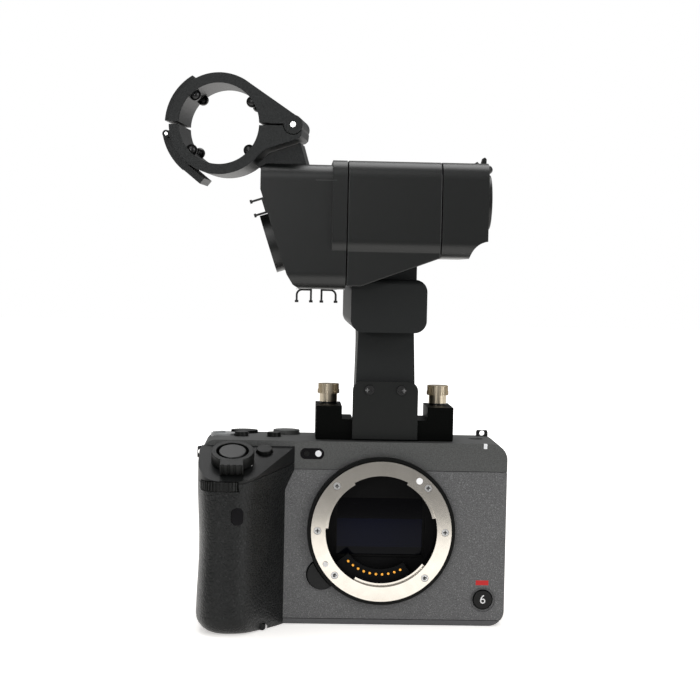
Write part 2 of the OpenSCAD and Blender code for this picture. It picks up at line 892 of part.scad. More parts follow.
module front_dial() {
  color([0.1, 0.1, 0.1])
    difference() {
      rod_z(dial_r, dial_x, dial_y, [dial_z - dial_h / 2, dial_z + dial_h / 2]);
      for (i = [0 : dial_ribs - 1])
        translate([dial_x, dial_y, 0])
          rotate([0, 0, i * 360 / dial_ribs])
            translate([dial_r - dial_rib, -dial_rib, dial_z - dial_h / 2 - over])
              cube([dial_rib + over, 2 * dial_rib, dial_h + 2 * over]);
    }
}

// Small button on the deck
deck_button_h = 1.6;

module deck_button() {
  color([0.12, 0.12, 0.12])
    on_deck()
      rod_z(deck_button_r, deck_button_x, -deck_button_run,
        [press_travel + seam - deck_button_sink, deck_button_h]);
}

// Buttons on the top cover: two with collars and one wide flat one
module top_button(x) {
  color([0.12, 0.12, 0.12])
    rod_z(top_button_r, x, top_button_y, [body_h - wall - seam, body_h + top_button_h]);
}

module iso_button() {
  top_button(iso_x);
}

module white_balance_button() {
  top_button(white_balance_x);
}

module mode_button() {
  color([0.3, 0.3, 0.3])
    rod_z(mode_r, mode_x, mode_y, [body_h - wall - seam, body_h + top_button_h]);
}

// Thumb dial at the back of the top cover, ribbed on its rim and standing proud
thumb_dial_h = 2.6;
thumb_dial_proud = 1.2;
thumb_ribs = 30;

module thumb_dial() {
  color([0.1, 0.1, 0.1])
    difference() {
      rod_z(thumb_dial_r, thumb_dial_x, thumb_dial_y,
        [body_h - thumb_dial_h + part_gap, body_h + thumb_dial_proud]);
      for (i = [0 : thumb_ribs - 1])
        translate([thumb_dial_x, thumb_dial_y, 0])
          rotate([0, 0, i * 360 / thumb_ribs])
            translate([thumb_dial_r - dial_rib, -dial_rib,
              body_h - thumb_dial_h])
              cube([dial_rib + over, 2 * dial_rib,
                thumb_dial_h + thumb_dial_proud + over]);
    }
}

// Power switch: a low disc with a finger tab on the left shoulder
power_h = 1.6;
power_tab_w = 2;

module power_switch() {
  color([0.35, 0.35, 0.35]) {
    rod_z(power_r, power_x, power_y, [body_h - wall / 2 + part_gap / 2, body_h + power_h / 2]);
    translate([power_x, power_y, body_h])
      rotate([0, 0, 225])
        translate([0, -power_tab_w / 2, 0])
          cube([power_r, power_tab_w, power_h]);
  }
}

// Mount ring: the plated steel bayonet, screwed to the boss of the chassis
lock_angle = 211;
lock_r = 26.6;
lock_x = lock_r * cos(lock_angle);
lock_z = axis_h + lock_r * sin(lock_angle);
claw_turns = [[14, 62], [120, 178], [242, 322]];
claw_root = 0.9;
screw_turns = [0, 44, 135, 180, 224, 314];
screw_sink = 0.5;

module ring_sector(inner, outer, from, to, y) {
  translate([0, y[1], axis_h])
    rotate([90, 0, 0])
      rotate([0, 0, from])
        rotate_extrude(angle = to - from)
          translate([inner, 0])
            square([outer - inner, y[1] - y[0]]);
}

module mount_ring() {
  color("lightgray") {
    difference() {
      rod_y(ring_r, 0, axis_h, [-flange_d, throat_seat]);
      rod_y(throat_r, 0, axis_h, [-flange_d - over, throat_seat + over]);
      for (turn = screw_turns)
        rod_y(screw_head_r + running_gap, screw_circle_r * cos(turn),
          axis_h + screw_circle_r * sin(turn),
          [-flange_d - over, throat_seat + over]);
      rod_y(lock_pin_r + running_gap / 2, lock_x, lock_z,
        [-flange_d - over, throat_seat + over]);
    }
    for (turn = claw_turns)
      ring_sector(throat_r - claw_reach, throat_r + claw_root, turn[0], turn[1],
        [throat_seat, throat_seat + claw_t]);
  }
}

// Mount collar: the black ring between the bright mount ring and the grey front panel
module mount_collar() {
  color([0.08, 0.08, 0.08])
    difference() {
      rod_y(collar_r, 0, axis_h, [collar_step - flange_d, -front_d]);
      rod_y(ring_r + running_gap, 0, axis_h, [-flange_d, throat_seat + running_gap]);
      rod_y(boss_r + running_gap, 0, axis_h, [-flange_d, over - front_d]);
    }
}

// Screws and pins: six mount screws, two cover screws and the hinge pins of the clamp
cross_w = 0.45;
cover_screw_z = body_h + 21.2;
cover_screw_x = 6.65;
cover_screw_r = 1.85;
cover_screw_l = 6;
cover_screw_core_r = 1.1;

module cross_screw(head_r, core_r, head_t, length) {
  difference() {
    union() {
      cylinder(h = head_t, r = head_r);
      translate([0, 0, -length])
        cylinder(h = length + head_t / 2, r = core_r);
    }
    for (turn = [0, 90])
      rotate([0, 0, turn])
        translate([-head_r / 1.6, -cross_w / 2, head_t / 2])
          cube([head_r / 0.8, cross_w, head_t]);
  }
}

module screws_and_pins() {
  color("silver")
    for (turn = screw_turns)
      translate([screw_circle_r * cos(turn), throat_seat,
        axis_h + screw_circle_r * sin(turn)])
        rotate([90, turn, 0])
          cross_screw(screw_head_r, screw_head_r, ring_t - screw_sink / 5, 0);
  color([0.2, 0.2, 0.2])
    for (side = [-1, 1])
      translate([handle_x + side * cover_screw_x, cover_front, cover_screw_z])
        rotate([90, 0, 0])
          cross_screw(cover_screw_r, cover_screw_core_r, 0.9, cover_t + cover_screw_l);
  color("silver")
    in_clamp() {
      rod_y(pin_r, hinge_x, 0, [0, clamp_l]);
      rod_y(latch_pin_r, latch_x, latch_z, latch_span);
    }
}

// Light chamber: the black tube behind the mount, with the contact shelf and the square
// light trap in front of the sensor
sensor_front = -sensor_t / 2 - 1.6;
chamber_back = sensor_front - part_gap;
trap_t = 1;
trap_margin = 0.9;
shelf_from = 218;
shelf_to = 305;
shelf_w = 4.2;
shelf_y = [-10.6, -7.6];

module light_chamber() {
  color([0.07, 0.07, 0.07]) {
    difference() {
      rod_y(chamber_r, 0, axis_h, [throat_seat + claw_t + seam, chamber_back]);
      rod_y(chamber_r - chamber_wall, 0, axis_h,
        [throat_seat, chamber_back - trap_t]);
      block([-sensor_w / 2 - trap_margin, sensor_w / 2 + trap_margin],
        [chamber_back - trap_t - over, chamber_back + over],
        [axis_h - sensor_h / 2 - trap_margin, axis_h + sensor_h / 2 + trap_margin]);
    }
    difference() {
      ring_sector(contact_r - shelf_w / 2, chamber_r - chamber_wall / 2,
        shelf_from, shelf_to, shelf_y);
      contact_row(contact_pin_r + running_gap / 2,
        [shelf_y[0] - over, shelf_y[1] + over]);
    }
  }
}

// Contact pins: a row of gilt pins on the shelf
contact_from = 225.7;
contact_pitch = 7.9;
pin_proud = 0.5;

module contact_row(r, y) {
  for (i = [0 : contact_count - 1])
    let(turn = contact_from + i * contact_pitch)
      rod_y(r, contact_r * cos(turn), axis_h + contact_r * sin(turn), y);
}

module contact_pins() {
  color("goldenrod")
    contact_row(contact_pin_r, [shelf_y[0] - pin_proud, shelf_y[1]]);
}

// Lens release button: a half round tab beside the collar, and the pin that it draws back
module lens_release_button() {
  color([0.1, 0.1, 0.1])
    difference() {
      rod_y(release_r, release_x, release_z,
        [-front_d - release_proud, frame_front + frame_t - release_travel]);
      rod_y(collar_r + part_gap, 0, axis_h, [-flange_d, over]);
    }
}

pin_over_flange = 0.8;

module lens_lock_pin() {
  color("silver")
    rod_y(lock_pin_r, lock_x, lock_z,
      [-flange_d - pin_over_flange, frame_front + frame_t + seam]);
}

// Sensor frame: the plate that carries the sensor, with a window for it
frame_margin = 6;
sensor_seat = 3;
sensor_margin = 3;
sensor_bezel = 1.1;

module sensor_frame() {
  color([0.1, 0.1, 0.1])
    difference() {
      block([-sensor_w / 2 - frame_margin, sensor_w / 2 + frame_margin],
        [sensor_front, sensor_seat],
        [axis_h - sensor_h / 2 - frame_margin, axis_h + sensor_h / 2 + frame_margin]);
      block([-sensor_w / 2, sensor_w / 2], [sensor_front - over, over],
        [axis_h - sensor_h / 2, axis_h + sensor_h / 2]);
      block([-sensor_w / 2 - sensor_margin, sensor_w / 2 + sensor_margin],
        [sensor_front + sensor_bezel, sensor_seat + over],
        [axis_h - sensor_h / 2 - sensor_margin, axis_h + sensor_h / 2 + sensor_margin]);
    }
}

// Image sensor: the package behind its cover glass
module image_sensor() {
  color("midnightblue")
    block([-sensor_w / 2 - sensor_margin + seam, sensor_w / 2 + sensor_margin - seam],
      [sensor_front + sensor_bezel, sensor_front + sensor_bezel + sensor_t],
      [axis_h - sensor_h / 2 - sensor_margin + seam,
        axis_h + sensor_h / 2 + sensor_margin - seam]);
}

// Round record button on the front, low at the right
module front_record_button() {
  color([0.07, 0.07, 0.07])
    rod_y(front_button_r, front_button_x, front_button_z,
      [-front_d - front_button_proud, frame_front + frame_t - press_travel]);
}

// Front windows: the light sensor's cover, the tally lamp and the remote sensor's cover
module front_windows() {
  color([0.05, 0.05, 0.05])
    along_y([-front_d, window_d - front_d])
      rounded([window_x - window_w / 2 + seam / 2, window_x + window_w / 2 - seam / 2],
        [window_z - window_h / 2 + seam / 2, window_z + window_h / 2 - seam / 2],
        window_h / 2 - 2 * seam);
  color("lightgray")
    block([tally_x - tally_w / 2 + seam / 2, tally_x + tally_w / 2 - seam / 2],
      [-front_d, tally_d - front_d], [body_h - tally_h, body_h]);
  color([0.08, 0.08, 0.08])
    along_y([remote_face, grip_front + remote_d + over])
      rounded([remote_x - remote_w / 2 + seam / 2, remote_x + remote_w / 2 - seam / 2],
        [remote_z - remote_h / 2 + seam / 2, remote_z + remote_h / 2 - seam / 2],
        remote_w / 2 - 2 * seam);
}

remote_face = grip_front + waist_inset + 0.3;

// Main board behind the sensor, with its chips
board_y = sensor_seat + 1.2;
board_t = 1.4;
chip_t = 1.4;
chip_w = 14;

module main_board() {
  color("darkgreen") {
    block([frame_left + wall, frame_right - port_box], [board_y, board_y + board_t],
      [frame_bottom + 2 * wall, frame_top - frame_t - wall]);
    for (i = [0 : 2])
      block([(i - 1) * 1.5 * chip_w - chip_w / 2, (i - 1) * 1.5 * chip_w + chip_w / 2],
        [board_y + board_t, board_y + board_t + chip_t],
        [axis_h - chip_w / 2, axis_h + chip_w / 2]);
  }
}

// Cooling fan: a hub with curved blades on the shaft behind the fin wall
blade_count = 9;
blade_t = 0.8;

module cooling_fan() {
  color([0.1, 0.1, 0.1])
    translate([fan_x, fin_wall + fin_wall_t + part_gap + fan_t, fan_z])
      rotate([90, 0, 0])
        difference() {
          union() {
            cylinder(h = fan_t, r = fan_hub_r);
            for (i = [0 : blade_count - 1])
              rotate([0, 0, i * 360 / blade_count])
                translate([fan_hub_r - blade_t, -blade_t / 2, blade_t])
                  cube([fan_r - fan_hub_r, blade_t, fan_t - blade_t]);
          }
          translate([0, 0, -over])
            cylinder(h = fan_t + 2 * over, r = fan_shaft_r + running_gap / 2);
        }
}

// Battery in the grip, with its contact recess
module battery() {
  color([0.12, 0.12, 0.12])
    difference() {
      block(battery_x, battery_y, battery_z);
      block([battery_x[0] + battery_w / 3, battery_x[1] - battery_w / 3],
        [battery_y[0] - over, battery_y[0] + wall],
        [battery_z[1] - 2 * wall, battery_z[1] + over]);
    }
}

// Battery door: a slice of the foot of the grip, hinged at its inner edge
barrel_r = 1.4;
door_axis_x = battery_x[1] + battery_rim + barrel_r / 2;
door_axis_z = barrel_r;

module battery_door() {
  color([0.14, 0.15, 0.14]) {
    intersection() {
      grip_form();
      block([-left_w - over, battery_x[1] + battery_rim],
        [battery_y[0] - battery_rim, battery_y[1] + battery_rim], [-over, door_t]);
    }
    rod_y(barrel_r, door_axis_x, door_axis_z,
      [battery_y[0] - battery_rim, battery_y[1] + battery_rim]);
  }
}

// Card door on the left side, hinged at its back edge
card_door_z = [card_z - card_door_h / 2, card_z + card_door_h / 2];

module card_door() {
  color([0.14, 0.15, 0.14]) {
    block([waist_inset - left_w, door_inset - left_w],
      [card_y - card_door_w / 2, card_axis_y], card_door_z);
    rod_z(card_barrel_r, card_axis_x, card_axis_y, card_door_z);
    rod_z(door_pin_r, card_axis_x, card_axis_y,
      [card_door_z[0] - door_pin_l, card_door_z[1] + door_pin_l]);
  }
}

// Port door on the right side, flush with the rear cover
port_door_z = [port_z - port_h / 2 + part_gap, port_z + port_h / 2 - part_gap];

module port_door() {
  color([0.13, 0.13, 0.13]) {
    block([right_w - port_t, right_w - running_gap],
      [port_y - port_w / 2 + part_gap, port_axis_y], port_door_z);
    rod_z(port_barrel_r, port_axis_x, port_axis_y, port_door_z);
    rod_z(door_pin_r, port_axis_x, port_axis_y,
      [port_door_z[0] - door_pin_l, port_door_z[1] + door_pin_l]);
  }
}

// Side sockets behind the port door: two round jacks and two wide connectors
jack_r = 1.8;
jack_l = 10;
jack_y = port_y + 2;
jack_z = [14, 24];
connector_w = [3.4, 4.6];
connector_h = [9.4, 11.4];
connector_z = [35, 47];

module side_sockets() {
  color([0.2, 0.2, 0.2])
    difference() {
      block([right_w - port_box + part_gap, right_w - port_t - part_gap],
        [port_y - port_w / 2 + wall, port_y + port_w / 2 - wall],
        [port_z - port_h / 2 + wall, port_z + port_h / 2 - wall]);
      for (z = jack_z)
        rod_x(jack_r, jack_y, z, [right_w - jack_l - port_t, right_w]);
      for (i = [0, 1])
        block([right_w - jack_l - port_t, right_w],
          [jack_y - connector_w[i] / 2, jack_y + connector_w[i] / 2],
          [connector_z[i] - connector_h[i] / 2, connector_z[i] + connector_h[i] / 2]);
    }
}

// Monitor: an upright hinge at the right, a housing and a glass face turned to the back
hinge_post_x = right_w - 1.5 - hinge_r;
hinge_post_y = rear_d + monitor_gap + hinge_r;
monitor_edge = [monitor_x - monitor_w / 2, hinge_post_x - hinge_r - 2 * part_gap];
monitor_span_z = [monitor_z - monitor_h / 2, monitor_z + monitor_h / 2];
glass_t = 0.9;
glass_margin = 4;
knuckle_h = 13;
monitor_round = 3;
hinge_pin_r = 1.5;

module monitor_arm() {
  color([0.12, 0.12, 0.12])
    difference() {
      union() {
        rod_z(hinge_r, hinge_post_x, hinge_post_y,
          [monitor_span_z[0] + knuckle_h + part_gap, monitor_span_z[1] - knuckle_h - part_gap]);
        block([monitor_edge[1], hinge_post_x], [hinge_post_y - hinge_r / 2, hinge_post_y + hinge_r / 2],
          [monitor_span_z[0] + knuckle_h + part_gap, monitor_span_z[1] - knuckle_h - part_gap]);
      }
      rod_z(hinge_pin_r + running_gap / 2, hinge_post_x, hinge_post_y, [0, body_h]);
    }
}

// The fixed half of the monitor hinge: two knuckles on the rear cover, with the pin
module monitor_knuckles() {
  color([0.12, 0.12, 0.12]) {
    for (z = [monitor_span_z[0], monitor_span_z[1] - knuckle_h]) {
      rod_z(hinge_r, hinge_post_x, hinge_post_y, [z, z + knuckle_h]);
      block([hinge_post_x - hinge_r / 2, hinge_post_x + hinge_r],
        [rear_d - wall, hinge_post_y], [z, z + knuckle_h]);
    }
    rod_z(hinge_pin_r, hinge_post_x, hinge_post_y, [monitor_span_z[0], monitor_span_z[1]]);
  }
}

module monitor_housing() {
  color([0.12, 0.12, 0.12])
    difference() {
      along_y([rear_d + monitor_gap, monitor_back])
        rounded(monitor_edge, monitor_span_z, monitor_round);
      along_y([monitor_back - glass_t, monitor_back + over])
        rounded([monitor_edge[0] + glass_margin, monitor_edge[1] - glass_margin],
          [monitor_span_z[0] + glass_margin, monitor_span_z[1] - glass_margin],
          monitor_round / 2);
    }
}

module monitor_screen() {
  color([0.05, 0.05, 0.06])
    along_y([monitor_back - glass_t, monitor_back - glass_t / 3])
      rounded([monitor_edge[0] + glass_margin + seam / 2, monitor_edge[1] - glass_margin - seam / 2],
        [monitor_span_z[0] + glass_margin + seam / 2, monitor_span_z[1] - glass_margin - seam / 2],
        monitor_round / 2 - seam / 2);
}

// Control wheel on the back, with the button in its middle
wheel_t = 2.4;
wheel_ribs = 36;

module control_wheel() {
  color([0.12, 0.12, 0.12])
    difference() {
      rod_y(wheel_r, wheel_x, wheel_z, [rear_d - wheel_proud + seam, rear_d + wheel_t]);
      rod_y(centre_r + running_gap, wheel_x, wheel_z, [rear_d - wheel_proud, rear_d + 2 * wheel_t]);
      for (i = [0 : wheel_ribs - 1])
        translate([wheel_x, rear_d, wheel_z])
          rotate([0, i * 360 / wheel_ribs, 0])
            translate([wheel_r - dial_rib, 0, -dial_rib / 2])
              cube([dial_rib + over, wheel_t + over, dial_rib]);
    }
}

module center_button() {
  color([0.1, 0.1, 0.1])
    rod_y(centre_r, wheel_x, wheel_z,
      [rear_d - wheel_proud + press_travel + seam, rear_d + wheel_t + part_gap]);
}

module joystick() {
  color([0.1, 0.1, 0.1]) {
    rod_y(stick_r, stick_x, stick_z, [rear_d - wheel_proud, rear_d + wheel_t]);
    rod_y(stick_r / 2, stick_x, stick_z, [rear_plate, rear_d]);
  }
}

// Strap lugs: two steel eyes, one on each end of the body
lug_z = seam_z + 4;
lug_y = [9, 20];
lug_w = 5;
lug_out = 2.6;
lug_t = 1.6;
lug_eye_r = 1.1;
right_lug_x = right_w - 7;

module eyelet(y) {
  along_y([y, y + lug_t])
    difference() {
      union() {
        square_between([-lug_w / 2, lug_w / 2], [0, lug_out / 2]);
        translate([0, lug_out / 2])
          intersection() {
            circle(lug_w / 2);
            square_between([-lug_w, lug_w], [-over / 2, lug_out / 2]);
          }
      }
      translate([0, lug_out / 2])
        circle(lug_eye_r);
    }
}

module strap_lugs() {
  color("darkgray") {
    translate([top_left, 0, lug_z])
      rotate([0, -90, 0])
        eyelet(lug_y[0]);
    translate([right_lug_x, 0, body_h])
      eyelet(lug_y[1]);
  }
}

// Shoe rail: the slotted steel plate on the top cover that the handle's foot slides into
rail_w = 21;
rail_d = 20;
rail_h = 2.2;
rail_lip = 2.6;
rail_t = 0.9;
rail_y = -4;

module shoe_rail() {
  color("silver")
    translate([handle_x, rail_y, body_h])
      difference() {
        translate([-rail_w / 2, 0, 0])
          cube([rail_w, rail_d, rail_h]);
        translate([rail_t - rail_w / 2, -over, rail_t])
          cube([rail_w - 2 * rail_t, rail_d, rail_h - 2 * rail_t]);
        translate([rail_lip - rail_w / 2, -over, rail_t])
          cube([rail_w - 2 * rail_lip, rail_d, rail_h]);
      }
}

// Handle base: the foot of the handle, with an ear at each end for a thumb screw
base_front = -handle_base_y;
base_end = handle_base_d - handle_base_y;
ear_x = handle_base_w / 2 - ear_w / 2;
ear_y = base_end - 9;
post_slot = 0.2;

module handle_base() {
  color([0.07, 0.07, 0.07])
    difference() {
      union() {
        along_y([base_front, base_end])
          polygon([
            [handle_x - handle_base_w / 2, body_h + seam],
            [handle_x + handle_base_w / 2, body_h + seam],
            [handle_x + handle_base_w / 2, body_h + ear_h],
            [handle_x + handle_base_w / 2 - ear_w, body_h + ear_h],
            [handle_x + handle_base_w / 2 - ear_w, body_h + step_h],
            [handle_x - handle_base_w / 2 + ear_w, body_h + step_h],
            [handle_x - handle_base_w / 2 + ear_w, body_h + ear_h],
            [handle_x - handle_base_w / 2, body_h + ear_h]
          ]);
      }
      block([handle_x - post_foot_w / 2 - post_slot, handle_x + post_foot_w / 2 + post_slot],
        [base_front - over, base_end + over], [body_h + 2 * rail_h, body_h + ear_h + over]);
      block([handle_x - rail_w / 2 - part_gap, handle_x + rail_w / 2 + part_gap],
        [rail_y - part_gap, rail_y + rail_d + part_gap],
        [body_h - over, body_h + rail_h + part_gap]);
      for (side = [-1, 1])
        rod_z(thumb_core_r + running_gap / 2, handle_x + side * ear_x, ear_y,
          [body_h, body_h + ear_h + over]);
    }
}

// Thumb screws: knurled and plated, with a coin slot, one in each ear
thumb_core_r = 3.1;
thumb_neck_h = 4.2;
thumb_head_h = 4.1;
coin_slot_w = 2.6;
coin_slot_d = 2.4;
knurl_count = 36;
knurl = 0.3;

module thumb_screw(side) {
  color([0.78, 0.74, 0.66])
    translate([handle_x + side * ear_x, ear_y, body_h + ear_h])
      difference() {
        union() {
          translate([0, 0, part_gap / 3])
            cylinder(h = thumb_neck_h, r = thumb_neck_r);
          translate([0, 0, thumb_neck_h])
            cylinder(h = thumb_head_h, r = thumb_head_r);
          translate([0, 0, seam + part_gap / 3 - ear_h])
            cylinder(h = ear_h, r = thumb_core_r);
        }
        translate([-thumb_head_r - over, -coin_slot_w / 2,
          thumb_neck_h + thumb_head_h - coin_slot_d])
          cube([2 * thumb_head_r + 2 * over, coin_slot_w, coin_slot_d + over]);
        for (i = [0 : knurl_count - 1])
          rotate([0, 0, i * 360 / knurl_count])
            translate([thumb_head_r - knurl, -knurl, thumb_neck_h - over])
              cube([knurl + over, 2 * knurl, thumb_head_h + 2 * over]);
      }
}

module left_thumb_screw() {
  thumb_screw(-1);
}

module right_thumb_screw() {
  thumb_screw(1);
}

// Handle cover: the plate over the front of the post, narrower at its rounded top
cover_front = -handle_base_y - cover_t;
cover_round = 4;
cover_draft = 0.6;
cover_screw_gap = 0.1;

module handle_cover() {
  color([0.13, 0.13, 0.13])
    difference() {
      along_y([cover_front, base_front - post_slot])
        intersection() {
          rounded([handle_x - cover_w / 2, handle_x + cover_w / 2],
            [body_h - cover_h, body_h + cover_h + 0.5 * cover_draft], cover_round);
          polygon([
            [handle_x - cover_w / 2 - over, body_h + cover_draft],
            [handle_x + cover_w / 2 + over, body_h + cover_draft],
            [handle_x + cover_w / 2 + over, body_h + 2 * cover_h],
            [handle_x - cover_w / 2 - over, body_h + 2 * cover_h]
          ]);
        }
      for (side = [-1, 1])
        rod_y(cover_screw_core_r + cover_screw_gap, handle_x + side * cover_screw_x,
          cover_screw_z, [cover_front - over, 0]);
    }
}

// Handle grip: the post and the bar in one casting, a side outline crossed with a front one
post_back = 16;
post_front = seam - handle_base_y;
post_lean = 3;
bar_round = 5;
bar_front = -bar_y;
bar_end = bar_l - bar_y;
bar_low = body_h + bar_z;
bar_top = body_h + bar_z + bar_h;
hollow_w = 20;
hollow_d = 1.2;
throat_round = 14;
shoe_socket_y = 62;
neck_w = 22.6;
neck_y = [-18, 14];

module post_side() {
  difference() {
    union() {
      polygon([
        [post_front, body_h + 2 * rail_h + seam],
        [post_back, body_h + 2 * rail_h + seam],
        [post_back + post_lean, bar_low + over],
        [post_front + post_lean, bar_low + over]
      ]);
      square_between([post_back, post_back + post_lean + throat_round],
        [bar_low - throat_round, bar_low + over]);
    }
    translate([post_back + post_lean + throat_round, bar_low - throat_round])
      circle(throat_round);
  }
}

module square_between(x, y) {
  translate([x[0], y[0]])
    square([x[1] - x[0], y[1] - y[0]]);
}

module handle_grip() {
  color([0.15, 0.15, 0.15])
    difference() {
      union() {
        intersection() {
          along_x([handle_x - post_foot_w, handle_x + post_foot_w])
            post_side();
          along_y([post_front - over, post_back + post_lean + 2 * throat_round])
            polygon([
              [handle_x - post_foot_w / 2, body_h],
              [handle_x + post_foot_w / 2, body_h],
              [handle_x + post_neck_w / 2, bar_low],
              [handle_x + post_neck_w / 2, bar_low + over],
              [handle_x - post_neck_w / 2, bar_low + over],
              [handle_x - post_neck_w / 2, bar_low]
            ]);
        }
        intersection() {
          along_y([bar_front, bar_end])
            rounded([handle_x - bar_w / 2, handle_x + bar_w / 2],
              [bar_low, bar_top], bar_round);
          along_x([handle_x - bar_w, handle_x + bar_w])
            rounded([bar_front, bar_end], [bar_low - bar_h, bar_top], bar_round / 2);
        }
        along_y(neck_y)
          square_between([handle_x - neck_w / 2, handle_x + neck_w / 2],
            [bar_top - over, box_low]);
      }
      along_y([box_front, box_back + over])
        wedge_outline(wedge_gap);
      block([handle_x - hollow_w / 2, handle_x + hollow_w / 2],
        [post_front - over, post_front + hollow_d],
        [body_h + cover_h + wall, bar_low + over]);
      for (side = [-1, 1])
        rod_y(cover_screw_core_r + cover_screw_gap, handle_x + side * cover_screw_x,
          cover_screw_z, [cover_front, cover_screw_l + over]);
      rod_z(socket_r, handle_x, shoe_socket_y, [bar_top - socket_l, bar_top + over]);
    }
}

wedge_gap = seam;

// Audio box: a middle case with round long edges over a wedge that rests on the handle
box_low = box_z;
box_top = box_z + box_h;
box_front = -box_y;
box_back = box_d - box_y;
side_low = box_z - side_drop;
wedge_drop = side_drop - 1.4;
wedge_flat = 5.8;
wedge_inset = 2;

module box_section(inset) {
  rounded([box_front + inset, box_back - inset], [box_low + inset, box_top - inset],
    box_round - inset);
}

module wedge_outline(gap) {
  polygon([
    [-box_left - (gap > 0 ? side_left : 0), box_low - wedge_drop - gap],
    [wedge_flat - box_left, box_low - wedge_drop - gap],
    [box_seam, box_low - gap],
    [box_seam, box_low + box_round],
    [-box_left - (gap > 0 ? side_left : 0), box_low + box_round]
  ]);
}

module audio_box() {
  color([0.13, 0.14, 0.13]) {
    along_x([-box_left, box_seam])
      box_section(0);
    along_y([box_front + wedge_inset, box_back - wedge_inset])
      wedge_outline(0);
  }
}

// Side cover: the left end of the box, with the raised band and the slanted dial face
slope_z = box_z + 26;
slope_foot_x = side_left - 11;
slope_foot_z = box_z - side_drop + 5.7;
side_inset = 1.8;
slope_turn = atan((side_left - slope_foot_x) / (slope_z - slope_foot_z));
chin = 5;

module side_outline() {
  polygon([
    [-side_left, slope_z],
    [-slope_foot_x, slope_foot_z],
    [chin / 2 - slope_foot_x, side_low + chin / 3],
    [chin - slope_foot_x, side_low],
    [-box_left - seam, side_low],
    [-box_left - seam, box_top - side_inset],
    [corner_r / 3 - side_left, box_top - side_inset],
    [-side_left, box_top - side_inset - corner_r / 3]
  ]);
}

// Places on the slanted face, counted down the slope from its top edge
module on_slope(run, y) {
  translate([-side_left, y, slope_z])
    rotate([0, -90 - slope_turn, 0])
      translate([-run, 0, 0])
        children();
}

dial_run = 21.5;
dial_face_y = box_front + 20;
bezel_proud = 3.5;
bezel_sink = 2.5;
level_t = 3;

module side_cover() {
  color([0.14, 0.15, 0.14])
    difference() {
      union() {
        intersection() {
          along_y([box_front, box_back])
            side_outline();
          along_x([-side_left - over, -box_left])
            rounded([box_front + side_inset, box_back - side_inset],
              [side_low, box_top - side_inset], box_round);
        }
        along_x([-box_left - band_w, -box_left - seam])
          box_section(0);
        on_slope(dial_run, dial_face_y)
          rod_z(bezel_r, 0, 0, [-over, bezel_proud]);
      }
      on_slope(dial_run, dial_face_y) {
        rod_z(level_r + part_gap, 0, 0, [-bezel_sink, bezel_proud + over]);
      }
    }
}

// Level dial in its bezel, with a pointer groove
pointer_w = 1.2;
pointer_d = 1;

module level_dial() {
  color([0.1, 0.1, 0.1])
    on_slope(dial_run, dial_face_y)
      difference() {
        rod_z(level_r, 0, 0, [seam - bezel_sink, level_t]);
        translate([-level_r - over, -pointer_w / 2, level_t - pointer_d])
          cube([level_r, pointer_w, pointer_d + over]);
      }
}

// End cap: the right end of the box, with a hollow corner, the two input wells and two stops
notch_r = 8;
input_y = [box_front + 15, box_back - 15];
input_z = box_z + box_h / 2 + 4;
input_d = 9;
stop_w = 2.4;
stop_h = 2.9;
stop_bevel = 0.7;
release_rise = 2.2;
release_stem_r = 1.2;
release_head_r = 1.8;
release_out = 1;

module audio_end_cap() {
  color([0.13, 0.14, 0.13])
    difference() {
      union() {
        along_x([box_seam + seam, box_right])
          box_section(0);
        for (y = input_y)
          along_y([y - stop_w, y + stop_w])
            polygon([
              [box_right - stop_w, box_top - over],
              [box_right, box_top - over],
              [box_right, box_top + stop_h - stop_bevel],
              [box_right - stop_bevel, box_top + stop_h],
              [box_right - 2 * stop_bevel, box_top + stop_h - stop_bevel / 2]
            ]);
      }
      rod_y(notch_r, box_right + 1, box_low - 1, [box_front - over, box_back + over]);
      for (y = input_y)
        rod_x(input_r + seam, y, input_z, [box_right - input_d, box_right + over]);
      for (y = input_y)
        rod_x(release_stem_r + seam, y, input_z + input_r + release_rise,
          [box_right - input_d, box_right + over]);
    }
}

// Input sockets: two round connectors with three holes each, and their release buttons
input_hole_r = 1.2;
input_hole_ring = 4.6;
input_well_r = 8;
input_well_d = 4;

module input_sockets() {
  color([0.1, 0.1, 0.1])
    for (y = input_y)
      translate([box_right - input_d, y, input_z])
        rotate([0, 90, 0]) {
          difference() {
            cylinder(h = input_d + wall, r = input_r);
            translate([0, 0, input_d + wall - input_well_d])
              cylinder(h = input_well_d + over, r = input_well_r);
            for (turn = [0, 120, 240])
              rotate([0, 0, turn])
                translate([input_hole_ring, 0, wall])
                  cylinder(h = input_d + over, r = input_hole_r);
          }
          translate([-input_r - release_rise, 0, 0]) {
            cylinder(h = input_d + release_out, r = release_stem_r);
            translate([0, 0, input_d + release_out])
              difference() {
                sphere(release_head_r);
                translate([-input_r, -input_r, seam - release_out - input_r])
                  cube([2 * input_r, 2 * input_r, input_r]);
              }
          }
        }
}

// Cable clips: thin sprung fingers under the side cover and on its slanted face
finger_t = 0.8;
finger_w = 3;
finger_l = 5.6;
finger_bend = 2.6;
finger_foot = [1.5, 0.9];
clip_w = 6.6;
clip_x = [-33.8, -23.7];
clip_y = box_front + 18;
clip_run = 6;

module finger(bent) {
  if (bent) {
    difference() {
      translate([finger_bend, -finger_bend])
        circle(finger_bend);
      translate([finger_bend, -finger_bend])
        circle(finger_bend - finger_t);
      square_between([0, 2 * finger_bend + over], [-2 * finger_bend - over, -finger_bend]);
      square_between([finger_bend, 2 * finger_bend + over], [-finger_bend - over, over]);
    }
    square_between([0, finger_t], [-finger_l, -finger_bend]);
  } else {
    square_between([0, finger_t], [-finger_l, 0]);
  }
  square_between([(finger_t - finger_foot[0]) / 2, (finger_t + finger_foot[0]) / 2],
    [-finger_l, finger_foot[1] - finger_l]);
}

